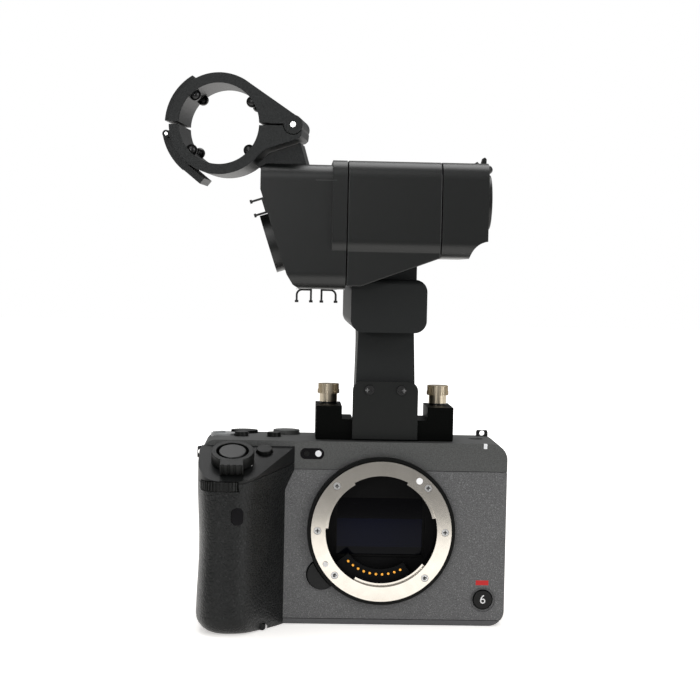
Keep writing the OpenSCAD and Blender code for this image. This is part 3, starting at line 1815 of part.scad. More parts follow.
module clip(outer) {
  translate([-clip_w / 2, 0])
    finger(outer < 0);
  translate([clip_w / 2, 0])
    mirror([1, 0])
      finger(outer > 0);
  square_between([finger_bend - clip_w / 2, clip_w / 2 - finger_bend], [-finger_t, 0]);
  square_between([-clip_w / 2, clip_w / 2 - finger_bend], outer < 0 ? [-seam, -seam / 2] : [-finger_t, 0]);
  square_between([finger_bend - clip_w / 2, clip_w / 2], outer > 0 ? [-seam, -seam / 2] : [-finger_t, 0]);
}

module cable_clips() {
  color([0.06, 0.06, 0.06]) {
    for (i = [0, 1])
      translate([clip_x[i], 0, side_low])
        along_y([clip_y, clip_y + finger_w])
          clip(i == 0 ? -1 : 1);
    on_slope(clip_run, clip_y)
      mirror([0, 0, 1])
        translate([0, finger_w / 2, 0])
          rotate([90, 0, 0])
            linear_extrude(finger_w)
              clip(0);
  }
}

// Microphone clamp: a split ring on a bracket, turned a little to the right
split_gap = 0.5;
clamp_out_r = clamp_r + clamp_t;
arm_rise = 2.9;
arm_start = [10.4, 17.3];
arm_knuckle = [0.31, 0.69];
arm_foot_x = [13.9, 18.9, 32];
arm_foot_z = [-14.1, -9.9, -5.5];
latch_turn = 191;
latch_r = clamp_out_r + 1.8;
latch_x = latch_r * cos(latch_turn);
latch_z = latch_r * sin(latch_turn);
latch_pin_r = 0.7;
latch_ear_r = 1.5;
latch_web = 0.9;
latch_gap = 0.4;
latch_t = 3.2;
latch_sweep = 40;
latch_tail = 9;
latch_ear = 2.2;
latch_span = [latch_ear, clamp_l - latch_ear];
latch_body = [2 * latch_ear + part_gap, clamp_l - 2 * latch_ear - part_gap];
band_turns = [121, 177];
band_t = 2.4;
hinge_gap = 0.3;

module in_clamp() {
  translate([-clamp_x, -clamp_y, box_top + clamp_z])
    rotate([0, 0, -clamp_yaw])
      children();
}

module sector(inner, outer, from, to, y) {
  translate([0, y[1], 0])
    rotate([90, 0, 0])
      rotate([0, 0, from])
        rotate_extrude(angle = to - from)
          translate([inner, 0])
            square([outer - inner, y[1] - y[0]]);
}

// Upper half, which swings up about the pin, with the band that the latch draws on
module mic_clamp_upper() {
  color([0.12, 0.13, 0.13])
    in_clamp()
      difference() {
        union() {
          sector(clamp_r, clamp_out_r, 0, 180, [0, clamp_l]);
          along_y([0, clamp_l])
            polygon([
              arm_start,
              [hinge_x + 2.1, arm_rise],
              [hinge_x, split_gap / 2],
              [clamp_r + clamp_t / 2, split_gap / 2]
            ]);
          for (y = [[0, clamp_l * arm_knuckle[0] - hinge_gap],
            [clamp_l * arm_knuckle[1] + hinge_gap, clamp_l]])
            rod_y(knuckle_r, hinge_x, 0, y);
          sector(clamp_out_r - over, clamp_out_r + band_t, band_turns[0],
            band_turns[1], latch_body);
        }
        rod_y(clamp_r, 0, 0, [-over, clamp_l + over]);
        block([-2 * clamp_out_r, clamp_out_r], [-over, clamp_l + over],
          [-clamp_out_r, split_gap]);
        rod_y(knuckle_r + hinge_gap, hinge_x, 0,
          [clamp_l * arm_knuckle[0] - hinge_gap, clamp_l * arm_knuckle[1] + hinge_gap]);
        rod_y(pin_r + running_gap / 2, hinge_x, 0, [-over, clamp_l + over]);
      }
}

// Lower half, fixed to the bracket, with the middle knuckle and the ears of the latch
module mic_clamp_lower() {
  color([0.12, 0.13, 0.13])
    in_clamp()
      difference() {
        union() {
          difference() {
            union() {
              sector(clamp_r, clamp_out_r, 180, 360, [0, clamp_l]);
              along_y([0, clamp_l])
                polygon([
                  [clamp_r + clamp_t / 2, -split_gap / 2],
                  [hinge_x + knuckle_r, -split_gap / 2],
                  [arm_foot_x[2] + 1, arm_foot_z[2] + 1],
                  [arm_foot_x[2], arm_foot_z[2]],
                  [arm_foot_x[1], arm_foot_z[1]],
                  [arm_foot_x[0], arm_foot_z[0]]
                ]);
            }
            block([-2 * clamp_out_r, 2 * clamp_out_r], [-over, clamp_l + over],
              [-split_gap, clamp_out_r]);
            rod_y(clamp_r, 0, 0, [-over, clamp_l + over]);
            rod_y(knuckle_r + hinge_gap, hinge_x, 0, [-over, clamp_l + over]);
          }
          rod_y(knuckle_r, hinge_x, 0, [clamp_l * arm_knuckle[0], clamp_l * arm_knuckle[1]]);
          block([hinge_x - knuckle_r / 2, hinge_x + knuckle_r / 2],
            [clamp_l * arm_knuckle[0], clamp_l * arm_knuckle[1]],
            [-knuckle_r - 2 * hinge_gap, -knuckle_r / 2]);
          for (y = [[latch_ear, 2 * latch_ear], [clamp_l - 2 * latch_ear, clamp_l - latch_ear]]) {
            rod_y(latch_ear_r, latch_x, latch_z, y);
            sector(clamp_r + clamp_t / 2, latch_r - latch_web, latch_turn - 3,
              latch_turn + 5, y);
          }
        }
        rod_y(pin_r, hinge_x, 0, [-over, clamp_l + over]);
        rod_y(latch_pin_r, latch_x, latch_z, latch_span);
      }
}

// Latch lever, pivoted at its top between the ears of the lower half
module clamp_latch() {
  color([0.08, 0.08, 0.08])
    in_clamp()
      difference() {
        union() {
          rod_y(latch_ear_r, latch_x, latch_z, latch_body);
          sector(clamp_out_r + latch_gap, clamp_out_r + latch_gap + latch_t,
            latch_turn, latch_turn + latch_sweep, latch_body);
          rotate([0, -latch_turn - latch_sweep, 0])
            translate([clamp_out_r + latch_gap + seam, latch_body[0] + seam, -seam])
              cube([latch_t - 2 * seam, latch_body[1] - latch_body[0] - 2 * seam,
                latch_tail]);
        }
        rod_y(latch_pin_r + running_gap / 2, latch_x, latch_z, [0, clamp_l]);
      }
}

// Rubber pads inside the ring: domed studs in two rows, on the upper and on the lower half
pad_r = 2.3;
pad_reach = 2.9;
pad_rows = [5, 25];
upper_pad_turns = [36, 132];
lower_pad_turns = [222, 319];

module pads(turns) {
  color([0.09, 0.09, 0.09])
    in_clamp()
      for (turn = turns, y = pad_rows)
        translate([0, y, 0])
          rotate([0, -turn, 0])
            translate([clamp_r - pad_reach + pad_r, 0, 0])
              intersection() {
                union() {
                  rotate([0, 90, 0])
                    cylinder(h = pad_r, r = pad_r);
                  sphere(pad_r);
                }
                translate([-pad_r, 0, 0])
                  rotate([0, 0, 0])
                    block([-clamp_r, pad_reach - seam],
                      [-pad_r, pad_r], [-pad_r, pad_r]);
              }
}

module lower_pads() {
  pads(lower_pad_turns);
}

module upper_pads() {
  pads(upper_pad_turns);
}

// Microphone bracket between the audio box and the lower half of the clamp
bracket_y = [7, 24];
bracket_gap = 0.3;
bracket_top = [[20.2, -10.7], [32.1, -6.7]];
bracket_end_x = 34.6;
bracket_toe = [[15.7, -17.1], [13.9, -15.7]];

module mic_bracket() {
  bracket_foot = box_top - side_inset - (box_top + clamp_z);
  color([0.1, 0.1, 0.1])
    in_clamp()
      difference() {
        along_y(bracket_y)
          polygon([
            bracket_top[0],
            bracket_top[1],
            [bracket_end_x, bracket_foot],
            [bracket_top[0][0] - 1.5, bracket_foot],
            bracket_toe[0],
            bracket_toe[1]
          ]);
        rod_y(clamp_out_r + bracket_gap, 0, 0, [0, clamp_l]);
      }
}

front_panel();
top_cover();
rear_cover();
base_plate();
chassis();
grip();
grip_head();
record_button();
zoom_lever();
front_dial();
deck_button();
iso_button();
white_balance_button();
mode_button();
thumb_dial();
power_switch();
mount_ring();
mount_collar();
screws_and_pins();
light_chamber();
contact_pins();
lens_release_button();
lens_lock_pin();
sensor_frame();
image_sensor();
front_record_button();
front_windows();
main_board();
cooling_fan();
battery();
battery_door();
card_door();
memory_cards();
port_door();
side_sockets();
monitor_arm();
monitor_housing();
monitor_screen();
control_wheel();
center_button();
joystick();
strap_lugs();
shoe_rail();
handle_base();
left_thumb_screw();
right_thumb_screw();
handle_cover();
handle_grip();
side_cover();
audio_box();
audio_end_cap();
input_sockets();
level_dial();
cable_clips();
mic_bracket();
mic_clamp_lower();
mic_clamp_upper();
clamp_latch();
lower_pads();
upper_pads();
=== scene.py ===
import json
import math

import bmesh
import bpy
from mathutils import Matrix, Vector

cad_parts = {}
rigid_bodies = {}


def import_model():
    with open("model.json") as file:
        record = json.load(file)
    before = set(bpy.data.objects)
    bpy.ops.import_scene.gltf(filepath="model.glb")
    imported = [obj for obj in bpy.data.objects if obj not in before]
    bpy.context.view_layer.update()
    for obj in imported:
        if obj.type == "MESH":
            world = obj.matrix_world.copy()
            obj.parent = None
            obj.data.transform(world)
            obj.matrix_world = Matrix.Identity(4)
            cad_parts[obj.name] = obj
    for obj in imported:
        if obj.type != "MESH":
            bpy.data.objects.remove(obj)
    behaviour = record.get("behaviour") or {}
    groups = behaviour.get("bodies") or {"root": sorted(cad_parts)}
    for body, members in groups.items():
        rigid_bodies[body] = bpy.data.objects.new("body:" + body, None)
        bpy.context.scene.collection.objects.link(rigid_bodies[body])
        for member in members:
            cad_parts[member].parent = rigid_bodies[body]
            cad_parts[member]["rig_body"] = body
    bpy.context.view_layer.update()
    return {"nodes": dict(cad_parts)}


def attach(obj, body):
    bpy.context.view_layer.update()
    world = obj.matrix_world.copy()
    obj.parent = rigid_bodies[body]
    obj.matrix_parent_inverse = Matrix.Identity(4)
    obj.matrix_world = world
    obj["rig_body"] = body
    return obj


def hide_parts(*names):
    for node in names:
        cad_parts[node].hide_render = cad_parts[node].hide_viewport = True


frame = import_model()


# Base plate: the flat underside of the body, painted charcoal, with the tripod socket in
# it. It is screwed up into the casting, and the rest of the camera is built on it.
class Sock:
    """A shader socket that arithmetic can be written on."""

    def __init__(self, look, socket):
        self.look = look
        self.socket = socket

    def maths(self, operation, *others):
        values = dict(enumerate((self,) + others))
        return self.look.node("Math", {"operation": operation}, values)

    def __add__(self, other):
        return self.maths("ADD", other)

    __radd__ = __add__

    def __sub__(self, other):
        return self.maths("SUBTRACT", other)

    def __rsub__(self, other):
        return self.maths("MULTIPLY_ADD", -1.0, other)

    def __mul__(self, other):
        return self.maths("MULTIPLY", other)

    __rmul__ = __mul__

    def __gt__(self, other):
        return self.maths("GREATER_THAN", other)

    def __lt__(self, other):
        return self.maths("LESS_THAN", other)


class Look:
    """A procedural material, built on a Principled shader from expressions."""

    def __init__(self, name, **values):
        self.material = bpy.data.materials.new(name)
        self.material.use_nodes = True
        self.tree = self.material.node_tree
        self.shader = self.tree.nodes["Principled BSDF"]
        self.set(**values)

    def set(self, **values):
        for key, value in values.items():
            self.feed(self.shader.inputs[key.replace("_", " ")], value)

    def feed(self, socket, value):
        if isinstance(value, Sock):
            self.tree.links.new(value.socket, socket)
        elif hasattr(socket.default_value, "__len__") and hasattr(value, "__len__"):
            room = len(socket.default_value)
            socket.default_value = (tuple(value) + (1.0,))[:room]
        else:
            socket.default_value = value

    def node(self, kind, settings=None, values=None, out=0):
        """Adds a node, makes its settings, feeds its sockets and gives one output."""
        made = self.tree.nodes.new("ShaderNode" + kind)
        for key, value in (settings or {}).items():
            setattr(made, key, value)
        for key, value in (values or {}).items():
            self.feed(made.inputs[key], value)
        return Sock(self, made.outputs[out])

    def place(self):
        return self.node("TexCoord", out="Object")

    def axes(self):
        split = self.node("SeparateXYZ", values={0: self.place()})
        outputs = split.socket.node.outputs
        return [Sock(self, outputs[i]) for i in range(3)]

    def noise(self, scale, detail=2.0, point=None):
        values = {"Vector": point or self.place(), "Scale": scale, "Detail": detail}
        return self.node("TexNoise", values=values)

    def mix(self, factor, first, second):
        values = {0: factor, 6: first, 7: second}
        return self.node("Mix", {"data_type": "RGBA"}, values, out=2)

    def bump(self, height, depth, strength=1.0):
        values = {"Height": height, "Distance": depth, "Strength": strength}
        return self.node("Bump", values=values)


def linear(value):
    """A screen value, 0 to 255, as the linear value that a shader takes."""
    share = value / 255
    return share / 12.92 if share < 0.04045 else ((share + 0.055) / 1.055) ** 2.4


def tone(red, green=None, blue=None):
    """A colour in screen values, or a grey in one, as the colour that a shader takes."""
    parts = (red, red, red) if green is None else (red, green, blue)
    return tuple(linear(part) for part in parts)


def grained(name, colour, rough, grain=2500, depth=0.00003, spread=0.25, shine=0.25):
    """Moulded plastic or paint with a fine even grain in its colour and its surface."""
    look = Look(name, Roughness=rough, Specular_IOR_Level=shine)
    speck = look.noise(grain)
    dark = tuple(v * (1 - spread) for v in colour)
    light = tuple(v * (1 + spread) for v in colour)
    look.set(Base_Color=look.mix(speck, dark, light), Normal=look.bump(speck, depth))
    return look


MERGE_DISTANCE = 0.000002
FLAT_ANGLE = math.radians(0.5)
SHARP_ANGLE = math.radians(35)


def wear(node, look, edge):
    """Shows a merged copy of a CAD node with its edges rounded, in the node's place."""
    source = frame["nodes"][node]
    mesh = source.data.copy()
    form = bmesh.new()
    form.from_mesh(mesh)
    bmesh.ops.remove_doubles(form, verts=form.verts, dist=MERGE_DISTANCE)
    bmesh.ops.dissolve_limit(
        form, angle_limit=FLAT_ANGLE, verts=form.verts, edges=form.edges
    )
    form.to_mesh(mesh)
    form.free()
    for name in ("custom_normal", "sharp_edge"):
        if name in mesh.attributes:
            mesh.attributes.remove(mesh.attributes[name])
    mesh.shade_smooth()
    mesh.set_sharp_from_angle(angle=SHARP_ANGLE)
    mesh.materials.clear()
    mesh.materials.append(look.material)
    piece = bpy.data.objects.new(node + "_shown", mesh)
    bpy.context.scene.collection.objects.link(piece)
    if edge:
        rounding = piece.modifiers.new("rounding", "BEVEL")
        rounding.width = edge
        rounding.segments = 2
        rounding.limit_method = "ANGLE"
        rounding.angle_limit = SHARP_ANGLE
        rounding.harden_normals = True
    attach(piece, source["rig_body"])
    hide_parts(node)


base_paint = grained("base_paint", tone(84, 84, 85), rough=0.45)
wear("base_plate", base_paint, edge=0.00025)


# Inner casting: the die-cast magnesium frame that the lens mount, the board and the fan
# are screwed to, with its cooling fins. Little of it can be seen with the shells on.
def paint(node, look):
    """Gives a CAD node that is shown as it is its material, on the object's slot."""
    piece = frame["nodes"][node]
    for place in piece.material_slots:
        place.link = "OBJECT"
        place.material = look.material


casting = grained("magnesium", tone(52, 53, 52), rough=0.5)
paint("chassis", casting)
circuit_board = Look("circuit_board", Base_Color=tone(20, 70, 40), Roughness=0.4)
paint("main_board", circuit_board)
inner_plastic = Look("inner_plastic", Base_Color=tone(40), Roughness=0.6)
for node in ("cooling_fan", "battery", "memory_cards"):
    paint(node, inner_plastic)


# Image sensor: a glass-covered chip in a black plate on the sensor plane. Its coated glass
# is near black above, with a painted deep blue reflection below it and a darker strip along its
# foot.
sensor_paint = Look("sensor_frame", Base_Color=tone(6), Roughness=0.5, Specular_IOR_Level=0.1)
paint("sensor_frame", sensor_paint)
BLUE_REFLECTION_FROM_Z = 0.0306
BLUE_REFLECTION_TO_Z = 0.0425
sensor_look = Look("sensor_glass", Roughness=0.12, Specular_IOR_Level=0.08)
rise = sensor_look.axes()[2]
# Between these two heights the glass is painted deep blue, as a painted reflection.
lower_reflection = sensor_look.mix(rise < BLUE_REFLECTION_FROM_Z, tone(6, 9, 26), tone(3, 4, 9))
sensor_colour = sensor_look.mix(rise > BLUE_REFLECTION_TO_Z, lower_reflection, tone(4, 4, 7))
sensor_look.set(Base_Color=sensor_colour)
paint("image_sensor", sensor_look)


# Light chamber: the matt black tube between the mount and the sensor, moulded in plastic,
# with the shelf that carries the row of gilt contacts for the lens.
chamber_look = grained("chamber_black", tone(7, 7, 8), rough=0.6, shine=0.1)
wear("light_chamber", chamber_look, edge=0.0001)
gold = Look("gold", Base_Color=tone(240, 170, 70), Metallic=1.0, Roughness=0.25)
wear("contact_pins", gold, edge=0.00008)


# Front panel: cast magnesium with a charcoal paint that has a fine sparkle in it, let in
# between the top cover and the base plate. The lens mount is screwed through it, and a
# plain red bar is printed on it above the record button.
def inside(value, low, high):
    """A mask of the part of an axis between two values."""
    return (value > low) * (value < high)


FLECKS_PER_METRE = 2700
FLAKES_PER_METRE = 3100
FLAKE_LEVEL = 0.7
BAR_X = (0.0399, 0.0452)
BAR_Z = (0.0171, 0.0191)
BAR_FRONT_Y = -0.0135
sparkle = Look("front_panel", Metallic=0.25)
fleck = sparkle.noise(FLECKS_PER_METRE, detail=1.0)
flake = sparkle.noise(FLAKES_PER_METRE, detail=0.0)
fine_paint = sparkle.mix(fleck, tone(28, 28, 29), tone(117, 117, 118))
paint_colour = sparkle.mix(flake > FLAKE_LEVEL, fine_paint, tone(120, 121, 121))
x, y, z = sparkle.axes()
bar = inside(x, *BAR_X) * inside(z, *BAR_Z) * (y < BAR_FRONT_Y)
sparkle.set(
    Base_Color=sparkle.mix(bar, paint_colour, tone(186, 30, 32)),
    Roughness=0.42 + fleck * 0.25,
    Normal=sparkle.bump(fleck, depth=0.00002),
)
wear("front_panel", sparkle, edge=0.0003)


# Lens mount: a turned and plated steel bayonet ring with three claws, screwed on through
# its face, with a black collar behind it. The white dot shows where a lens goes in.
def reach(look, at_x, at_z):
    """How far a point is from a line that runs along Y."""
    split = look.axes()
    across = split[0] - at_x
    along = split[2] - at_z
    return (across * across + along * along).maths("SQRT")


MOUNT_Z = 0.0394
DOT_X = 0.0153
DOT_Z = 0.0606
DOT_RADIUS = 0.00135
GROOVES_PER_METRE = 9000
CLOUDS_PER_METRE = 240
steel = Look("mount_steel")
turned = steel.node("CombineXYZ", values={0: reach(steel, 0.0, MOUNT_Z)})
groove = steel.noise(GROOVES_PER_METRE, detail=3.0, point=turned)
cloud = steel.noise(CLOUDS_PER_METRE)
plate = steel.mix(cloud, tone(214, 208, 198), tone(236, 230, 220))
dot = reach(steel, DOT_X, DOT_Z) < DOT_RADIUS
steel.set(
    Base_Color=steel.mix(dot, plate, tone(255)),
    Metallic=1.0 - dot,
    Roughness=0.1 + groove * 0.08,
    Normal=steel.bump(groove, depth=0.0000008),
)
wear("mount_ring", steel, edge=0.0)
collar_look = grained("collar_black", tone(7, 8, 7), rough=0.4, shine=0.12)
wear("mount_collar", collar_look, edge=0.0002)
release_look = grained("release_black", tone(16, 17, 17), rough=0.45)
wear("lens_release_button", release_look, edge=0.0002)


# Screws and pins: the six plated screws of the mount, with cross heads, the pins of the
# clamp's hinge and latch, and the two blacked cross-head screws of the handle's cover.
COVER_SCREW_X = (-0.00665, 0.00865)
COVER_SCREW_Z = 0.0972
COVER_X = (-0.012, 0.014)
COVER_Z = (0.085, 0.115)
SCREW_CIRCLE = 0.02635
SCREW_TURNS = (0, 44, 135, 180, 224, 314)
CROSS_ARM = 0.00085
CROSS_SLOT = 0.00021
small_steel = Look("small_steel", Metallic=1.0, Roughness=0.3)
x, y, z = small_steel.axes()
heads = [(at_x, COVER_SCREW_Z) for at_x in COVER_SCREW_X]
for angle in map(math.radians, SCREW_TURNS):
    heads.append((SCREW_CIRCLE * math.cos(angle), MOUNT_Z + SCREW_CIRCLE * math.sin(angle)))
# The cross recesses are painted as colour only: darker on the plated heads, as painted shade in
# the recess, and lighter on the blacked heads, as painted light.
cross = 0.0
for at_x, at_z in heads:
    across = (x - at_x).maths("ABSOLUTE")
    along = (z - at_z).maths("ABSOLUTE")
    level_slot = (across < CROSS_ARM) * (along < CROSS_SLOT)
    upright_slot = (across < CROSS_SLOT) * (along < CROSS_ARM)
    cross = cross + level_slot + upright_slot
plated = small_steel.mix(cross, tone(205), tone(70))
blacked = small_steel.mix(cross, tone(30), tone(120))
on_cover = inside(z, *COVER_Z) * inside(x, *COVER_X)
small_steel.set(
    Base_Color=small_steel.mix(on_cover, plated, blacked), Metallic=1.0 - on_cover
)
wear("screws_and_pins", small_steel, edge=0.00012)
wear("lens_lock_pin", small_steel, edge=0.00012)


# Front record button: a round cap of black plastic that stands a little out of the front
# panel. A white figure is printed on it, and here it is a thin mesh that rides on the button.
FIGURE_SIZE = 0.0052
FIGURE_PROUD = 0.00004
curve = bpy.data.curves.new("figure", "FONT")
curve.body = "6"
curve.size = FIGURE_SIZE
curve.align_x = "CENTER"
curve.align_y = "CENTER"
typed = bpy.data.objects.new("figure", curve)
bpy.context.scene.collection.objects.link(typed)
bpy.context.view_layer.update()
figure = bpy.data.meshes.new_from_object(typed)
bpy.data.objects.remove(typed)
button = frame["nodes"]["front_record_button"]
corners = [v.co for v in button.data.vertices]
low = Vector(map(min, zip(*corners)))
high = Vector(map(max, zip(*corners)))
cap_middle = (low + high) / 2
cap_face = Vector((cap_middle.x, low.y - FIGURE_PROUD, cap_middle.z))
figure.transform(Matrix.Translation(cap_face) @ Matrix.Rotation(math.pi / 2, 4, "X"))
white = Look("print_white", Base_Color=tone(225), Roughness=0.5)
figure.materials.clear()
figure.materials.append(white.material)
front_button = Look("front_button", Base_Color=tone(6), Roughness=0.4, Specular_IOR_Level=0.25)
wear("front_record_button", front_button, edge=0.0004)
printed = bpy.data.objects.new("front_figure", figure)
bpy.context.scene.collection.objects.link(printed)
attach(printed, button["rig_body"])


# Front windows: the stadium window of the white balance sensor, the tally window and the
# remote window on the grip, in smoked acrylic.
EYE_X = -0.0313
DIFFUSER_X = -0.0265
EYE_Z = 0.0708
DIFFUSER_Z = 0.0709
EYE_RADIUS = 0.0011
DIFFUSER_RADIUS = 0.0013
TALLY_FROM_X = 0.03
window_look = Look("window_glass", Roughness=0.12, Specular_IOR_Level=0.3)
eye = reach(window_look, EYE_X, EYE_Z) < EYE_RADIUS
diffuser = reach(window_look, DIFFUSER_X, DIFFUSER_Z) < DIFFUSER_RADIUS
tally = window_look.axes()[0] > TALLY_FROM_X
smoke = window_look.mix(eye, tone(6, 5, 8), tone(24))
window_colour = window_look.mix(diffuser + tally, smoke, tone(235, 236, 238))
window_look.set(Base_Color=window_colour)
wear("front_windows", window_look, edge=0.00012)


# Top cover: the painted magnesium cover along the top of the body, darker than the front
# panel. It holds the round buttons, the thumb dial, the power switch, the steel strap lugs
# and the accessory thread.
cover_paint = Look("top_panel", Metallic=0.2)
fleck = cover_paint.noise(FLECKS_PER_METRE, detail=1.0)
cover_paint.set(
    Base_Color=cover_paint.mix(fleck, tone(31, 32, 31), tone(98, 99, 98)),
    Roughness=0.45 + fleck * 0.2,
    Normal=cover_paint.bump(fleck, depth=0.00002),
)
wear("top_cover", cover_paint, edge=0.0004)
button_look = grained("satin_black", tone(17, 18, 17), rough=0.36)
for node in ("iso_button", "white_balance_button", "thumb_dial"):
    wear(node, button_look, edge=0.0002)
grey_button = grained("button_grey", tone(84, 85, 84), rough=0.4)
wear("mode_button", grey_button, edge=0.0003)
switch_look = grained("switch_grey", tone(150, 152, 152), rough=0.35)
wear("power_switch", switch_look, edge=0.0002)
lug_look = Look("lug_steel", Base_Color=tone(58), Metallic=1.0, Roughness=0.4)
wear("strap_lugs", lug_look, edge=0.0002)


# Rear cover: the moulded back of the body with the card and port doors let into its ends
# and the controls on its back.
charcoal = grained("charcoal_plastic", tone(30, 31, 31), rough=0.5)
wear("rear_cover", charcoal, edge=0.0003)
dark = grained("dark_plastic", tone(14, 15, 15), rough=0.42)
for node in ("port_door", "card_door"):
    wear(node, dark, edge=0.0002)
socket_look = Look("socket_plastic", Base_Color=tone(24), Roughness=0.4)
wear("side_sockets", socket_look, edge=0.00015)
for node in ("control_wheel", "center_button", "joystick"):
    wear(node, button_look, edge=0.0002)


# Monitor: a thin moulded housing on an arm with an upright hinge, at the right of the back
# as seen from the front. Its glass face looks backwards.
wear("monitor_arm", dark, edge=0.0002)
wear("monitor_housing", dark, edge=0.0004)
screen_look = Look("screen_glass", Base_Color=tone(6, 6, 8), Roughness=0.06, Coat_Weight=1.0)
wear("monitor_screen", screen_look, edge=0.0001)


# Grip: a battery-holding shell covered in grained rubber, with a smooth head above the
# seam that carries the lever, the buttons and the dial.
CELLS_PER_METRE = 620
WANDERS_PER_METRE = 700
WANDER_SHARE = 0.0012
CREASE_SHARE = 0.22
leather = Look("grip_leather", Roughness=0.33, Specular_IOR_Level=0.28)
point = leather.place()
wander = leather.node(
    "TexNoise", values={"Vector": point, "Scale": WANDERS_PER_METRE, "Detail": 2}, out=1
)
bent = leather.node(
    "Mix",
    {"data_type": "VECTOR", "factor_mode": "UNIFORM"},
    {0: WANDER_SHARE, 4: point, 5: wander},
    out=1,
)
cells = leather.node(
    "TexVoronoi", {"feature": "DISTANCE_TO_EDGE"}, {"Vector": bent, "Scale": CELLS_PER_METRE}
)
crease = leather.node(
    "MapRange", values={"Value": cells, "From Min": 0.0, "From Max": CREASE_SHARE}
)
# The creases between the grain's cells are painted darker than the cells, a painted shade in the
# creases.
leather.set(
    Base_Color=leather.mix(crease, tone(3, 4, 4), tone(11, 14, 14)),
    Normal=leather.bump(crease, depth=0.00012, strength=0.8),
)
wear("grip", leather, edge=0.0)
LEFT_MARK_X = (-0.0664, -0.0651)
LEFT_MARK_Y = (-0.0309, -0.0300)
RIGHT_MARK_X = (-0.0552, -0.0533)
RIGHT_MARK_Y = (-0.0298, -0.0289)
DECK_FROM_Z = 0.062
HEAD_COLOUR = tone(14, 15, 15)
head_look = grained("head_plastic", HEAD_COLOUR, rough=0.4)
x, y, z = head_look.axes()
left_mark = inside(x, *LEFT_MARK_X) * inside(y, *LEFT_MARK_Y)
right_mark = inside(x, *RIGHT_MARK_X) * inside(y, *RIGHT_MARK_Y)
marks = (left_mark + right_mark) * (z > DECK_FROM_Z)
head_look.set(Base_Color=head_look.mix(marks, HEAD_COLOUR, tone(215)))
wear("grip_head", head_look, edge=0.0002)
wear("battery_door", dark, edge=0.0)
wear("front_dial", button_look, edge=0.0001)
wear("zoom_lever", button_look, edge=0.0003)
record_look = Look("record_button", Base_Color=tone(18), Roughness=0.35)
wear("record_button", record_look, edge=0.0005)
wear("deck_button", button_look, edge=0.0003)


# Handle base: the cast foot that slides on to the steel shoe rail of the top cover and is
# held by two nickel-plated thumb screws, each on a black washer.
shoe_look = Look("shoe_steel", Base_Color=tone(150), Metallic=1.0, Roughness=0.35)
wear("shoe_rail", shoe_look, edge=0.0001)
handle_cast = grained("handle_cast", tone(3, 4, 3), rough=0.5, shine=0.05)
wear("handle_base", handle_cast, edge=0.0005)
WASHER_TOP_Z = 0.0909
nickel = Look("nickel", Roughness=0.3)
washer = nickel.axes()[2] < WASHER_TOP_Z
nickel.set(
    Base_Color=nickel.mix(washer, tone(206, 194, 172), tone(10)), Metallic=1.0 - washer
)
for node in ("left_thumb_screw", "right_thumb_screw"):
    wear(node, nickel, edge=0.0002)


# Handle: the post and the bar, moulded as one piece of hard black plastic, with a cover
# plate over the foot of the post that is held by two blacked screws.
post_look = grained("post_plastic", tone(26, 28, 28), rough=0.48)
wear("handle_grip", post_look, edge=0.0006)
cover_look = grained("cover_plastic", tone(17, 19, 18), rough=0.48)
wear("handle_cover", cover_look, edge=0.0006)


# Audio box: the moulded box on the front of the bar, made of a side cover with its level
# dial and cable clips, a middle shell, and an end cap with the two input sockets.
BOX_COLOUR = tone(12, 14, 13)
FOOT_SEAM_SHADE_X = (-0.0480, -0.0178)
FOOT_SEAM_SHADE_Z = (0.1408, 0.1412)
STEP_HIGHLIGHT_X = (-0.0300, -0.0216)
STEP_HIGHLIGHT_Z = (0.1821, 0.1824)
BOX_FRONT_Y = -0.036
box_look = grained("box_plastic", BOX_COLOUR, rough=0.36, shine=0.5)
for node in ("audio_box", "audio_end_cap"):
    wear(node, box_look, edge=0.0006)
side_look = grained("side_plastic", BOX_COLOUR, rough=0.36, shine=0.5)
x, y, z = side_look.axes()
# A near black line is painted along the foot of the side cover, a painted shade in its seam.
foot_seam_shade = inside(z, *FOOT_SEAM_SHADE_Z) * inside(x, *FOOT_SEAM_SHADE_X)
# A thin light line is painted across the front of the side cover at its step, a painted
# highlight.
step_highlight = inside(z, *STEP_HIGHLIGHT_Z) * inside(x, *STEP_HIGHLIGHT_X) * (y < BOX_FRONT_Y)
seam_shaded = side_look.mix(foot_seam_shade, BOX_COLOUR, tone(1))
side_look.set(Base_Color=side_look.mix(step_highlight, seam_shaded, tone(56)))
wear("side_cover", side_look, edge=0.0006)
wear("level_dial", dark, edge=0.0003)
wear("input_sockets", socket_look, edge=0.0002)
wear("cable_clips", socket_look, edge=0.0001)


# Microphone clamp: two painted alloy half rings on a bracket, hinged at one side and held
# shut by a lever, with rubber domes inside that grip the microphone.
clamp_look = grained(
    "clamp_metal", tone(26, 28, 28), rough=0.4, grain=1700, depth=0.0001, spread=0.9
)
for node in ("mic_bracket", "mic_clamp_lower", "mic_clamp_upper", "clamp_latch"):
    wear(node, clamp_look, edge=0.0003)
rubber = Look("pad_rubber", Base_Color=tone(16), Roughness=0.3)
for node in ("lower_pads", "upper_pads"):
    wear(node, rubber, edge=0.0)


# Studio floor: a sheet of pale paper that ends a little in front of the object, with a
# darker floor beyond it that only the metal mirrors. None of it belongs to the object.
def rays(look, *kinds):
    """A mask of the rays of the named kinds."""
    outputs = look.node("LightPath").socket.node.outputs
    return sum(Sock(look, outputs["Is " + kind + " Ray"]) for kind in kinds)


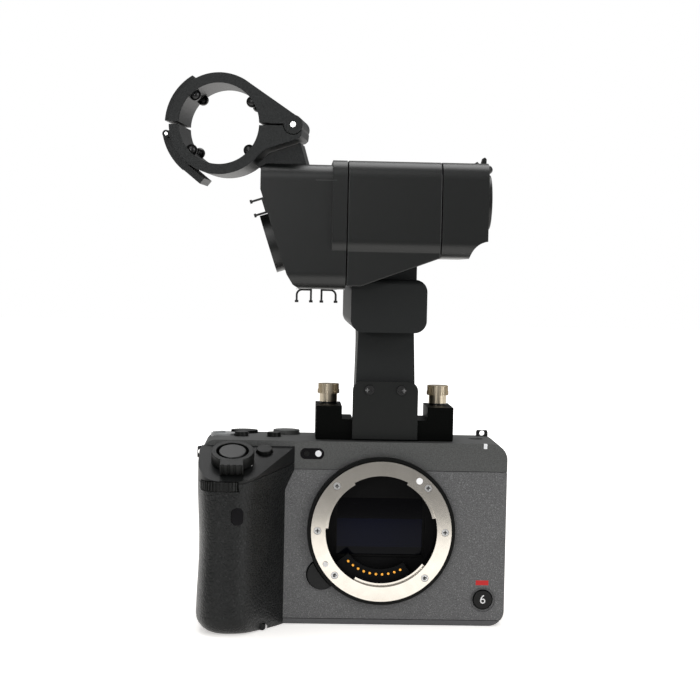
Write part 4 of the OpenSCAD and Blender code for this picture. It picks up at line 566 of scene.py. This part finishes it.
PAPER_EDGE_Y = -0.285
FAR_REACH = 0.6708
FLOOR_REACH = 4.0
FLOOR_DROP = 0.0001
floor_look = Look("floor", Roughness=0.8, Emission_Strength=1.0)
x, y, z = floor_look.axes()
direct = rays(floor_look, "Camera")
seen = rays(floor_look, "Camera", "Glossy", "Transmission")
paper = (y > PAPER_EDGE_Y).maths("MAXIMUM", direct)
far = direct * (x * x + y * y > FAR_REACH**2)
glow = floor_look.mix(seen * paper, tone(0), (0.5, 0.49, 0.48))
floor_look.set(
    Base_Color=floor_look.mix(paper, (0.2, 0.2, 0.2), (0.88, 0.87, 0.85)),
    Emission_Color=floor_look.mix(far, glow, tone(255)),
)
floor_mesh = bpy.data.meshes.new("floor")
form = bmesh.new()
bmesh.ops.create_grid(form, x_segments=1, y_segments=1, size=FLOOR_REACH)
form.to_mesh(floor_mesh)
form.free()
floor_mesh.transform(Matrix.Translation((0, 0, -FLOOR_DROP)))
floor_mesh.materials.append(floor_look.material)
floor = bpy.data.objects.new("floor", floor_mesh)
bpy.context.scene.collection.objects.link(floor)


# Studio lights: a key light at the left, a fill light at the right, a small flash by the
# camera and a wide light overhead, under a white sky that looks white but lights little.
def soft_light(name, position, target, size, power):
    """A soft light that points at a target."""
    data = bpy.data.lights.new(name, "AREA")
    data.shape = "RECTANGLE"
    data.size, data.size_y = size
    data.energy = power
    light = bpy.data.objects.new(name, data)
    aim = Vector(target) - Vector(position)
    turn = aim.to_track_quat("-Z", "Y").to_matrix().to_4x4()
    light.matrix_world = Matrix.Translation(position) @ turn
    bpy.context.scene.collection.objects.link(light)


class Sky(Look):
    """The world's background, built from expressions as a material is."""

    def __init__(self, name, **values):
        self.world = bpy.data.worlds.new(name)
        self.world.use_nodes = True
        self.tree = self.world.node_tree
        self.shader = self.tree.nodes["Background"]
        self.set(**values)


MIDDLE = (0, 0, 0.1)
GRIP_FOOT = (-0.06, 0, 0.04)
soft_light("key", position=(-0.5, -1.1, 1.1), target=MIDDLE, size=(0.9, 0.9), power=6)
soft_light("fill", position=(1.1, -0.9, 0.5), target=MIDDLE, size=(0.7, 0.9), power=7.5)
soft_light("flash", position=(-0.3, -0.85, 0.24), target=GRIP_FOOT, size=(0.1, 0.1), power=0.9)
soft_light("top", position=(0.0, 0.25, 1.3), target=MIDDLE, size=(1.2, 1.0), power=14)
SKY_LIGHT = 0.3
SKY_SEEN = 1.0
sky = Sky("studio", Color=tone(255))
seen = rays(sky, "Camera", "Transmission")
sky.set(
    Strength=sky.node("MapRange", values={"Value": seen, "To Min": SKY_LIGHT, "To Max": SKY_SEEN})
)
bpy.context.scene.world = sky.world


# Camera: a little left of the lens axis and looking down 2.6 degrees. The place comes from
# a fit of the mount's and the body's outlines, with some of their sizes assumed.
SPOT = Vector((-0.0390, -0.7135, 0.1461))
YAW, PITCH, ROLL = (math.radians(v) for v in (2.02, 2.63, 1.16))
FOCAL_PIXELS = 1701
PICTURE_PIXELS = 700
FILM_WIDTH = 36
forward = Vector(
    (math.sin(YAW) * math.cos(PITCH), math.cos(YAW) * math.cos(PITCH), -math.sin(PITCH))
)
right = Vector((math.cos(YAW), -math.sin(YAW), 0))
up = right.cross(forward)
across = right * math.cos(ROLL) + up * math.sin(ROLL)
above = up * math.cos(ROLL) - right * math.sin(ROLL)
lens = bpy.data.cameras.new("camera")
lens.sensor_width = FILM_WIDTH
lens.lens = FILM_WIDTH * FOCAL_PIXELS / PICTURE_PIXELS
camera = bpy.data.objects.new("camera", lens)
turn = Matrix((across, above, -forward)).transposed().to_4x4()
camera.matrix_world = Matrix.Translation(SPOT) @ turn
bpy.context.scene.collection.objects.link(camera)
bpy.context.scene.camera = camera
bpy.context.scene.view_settings.view_transform = "Standard"
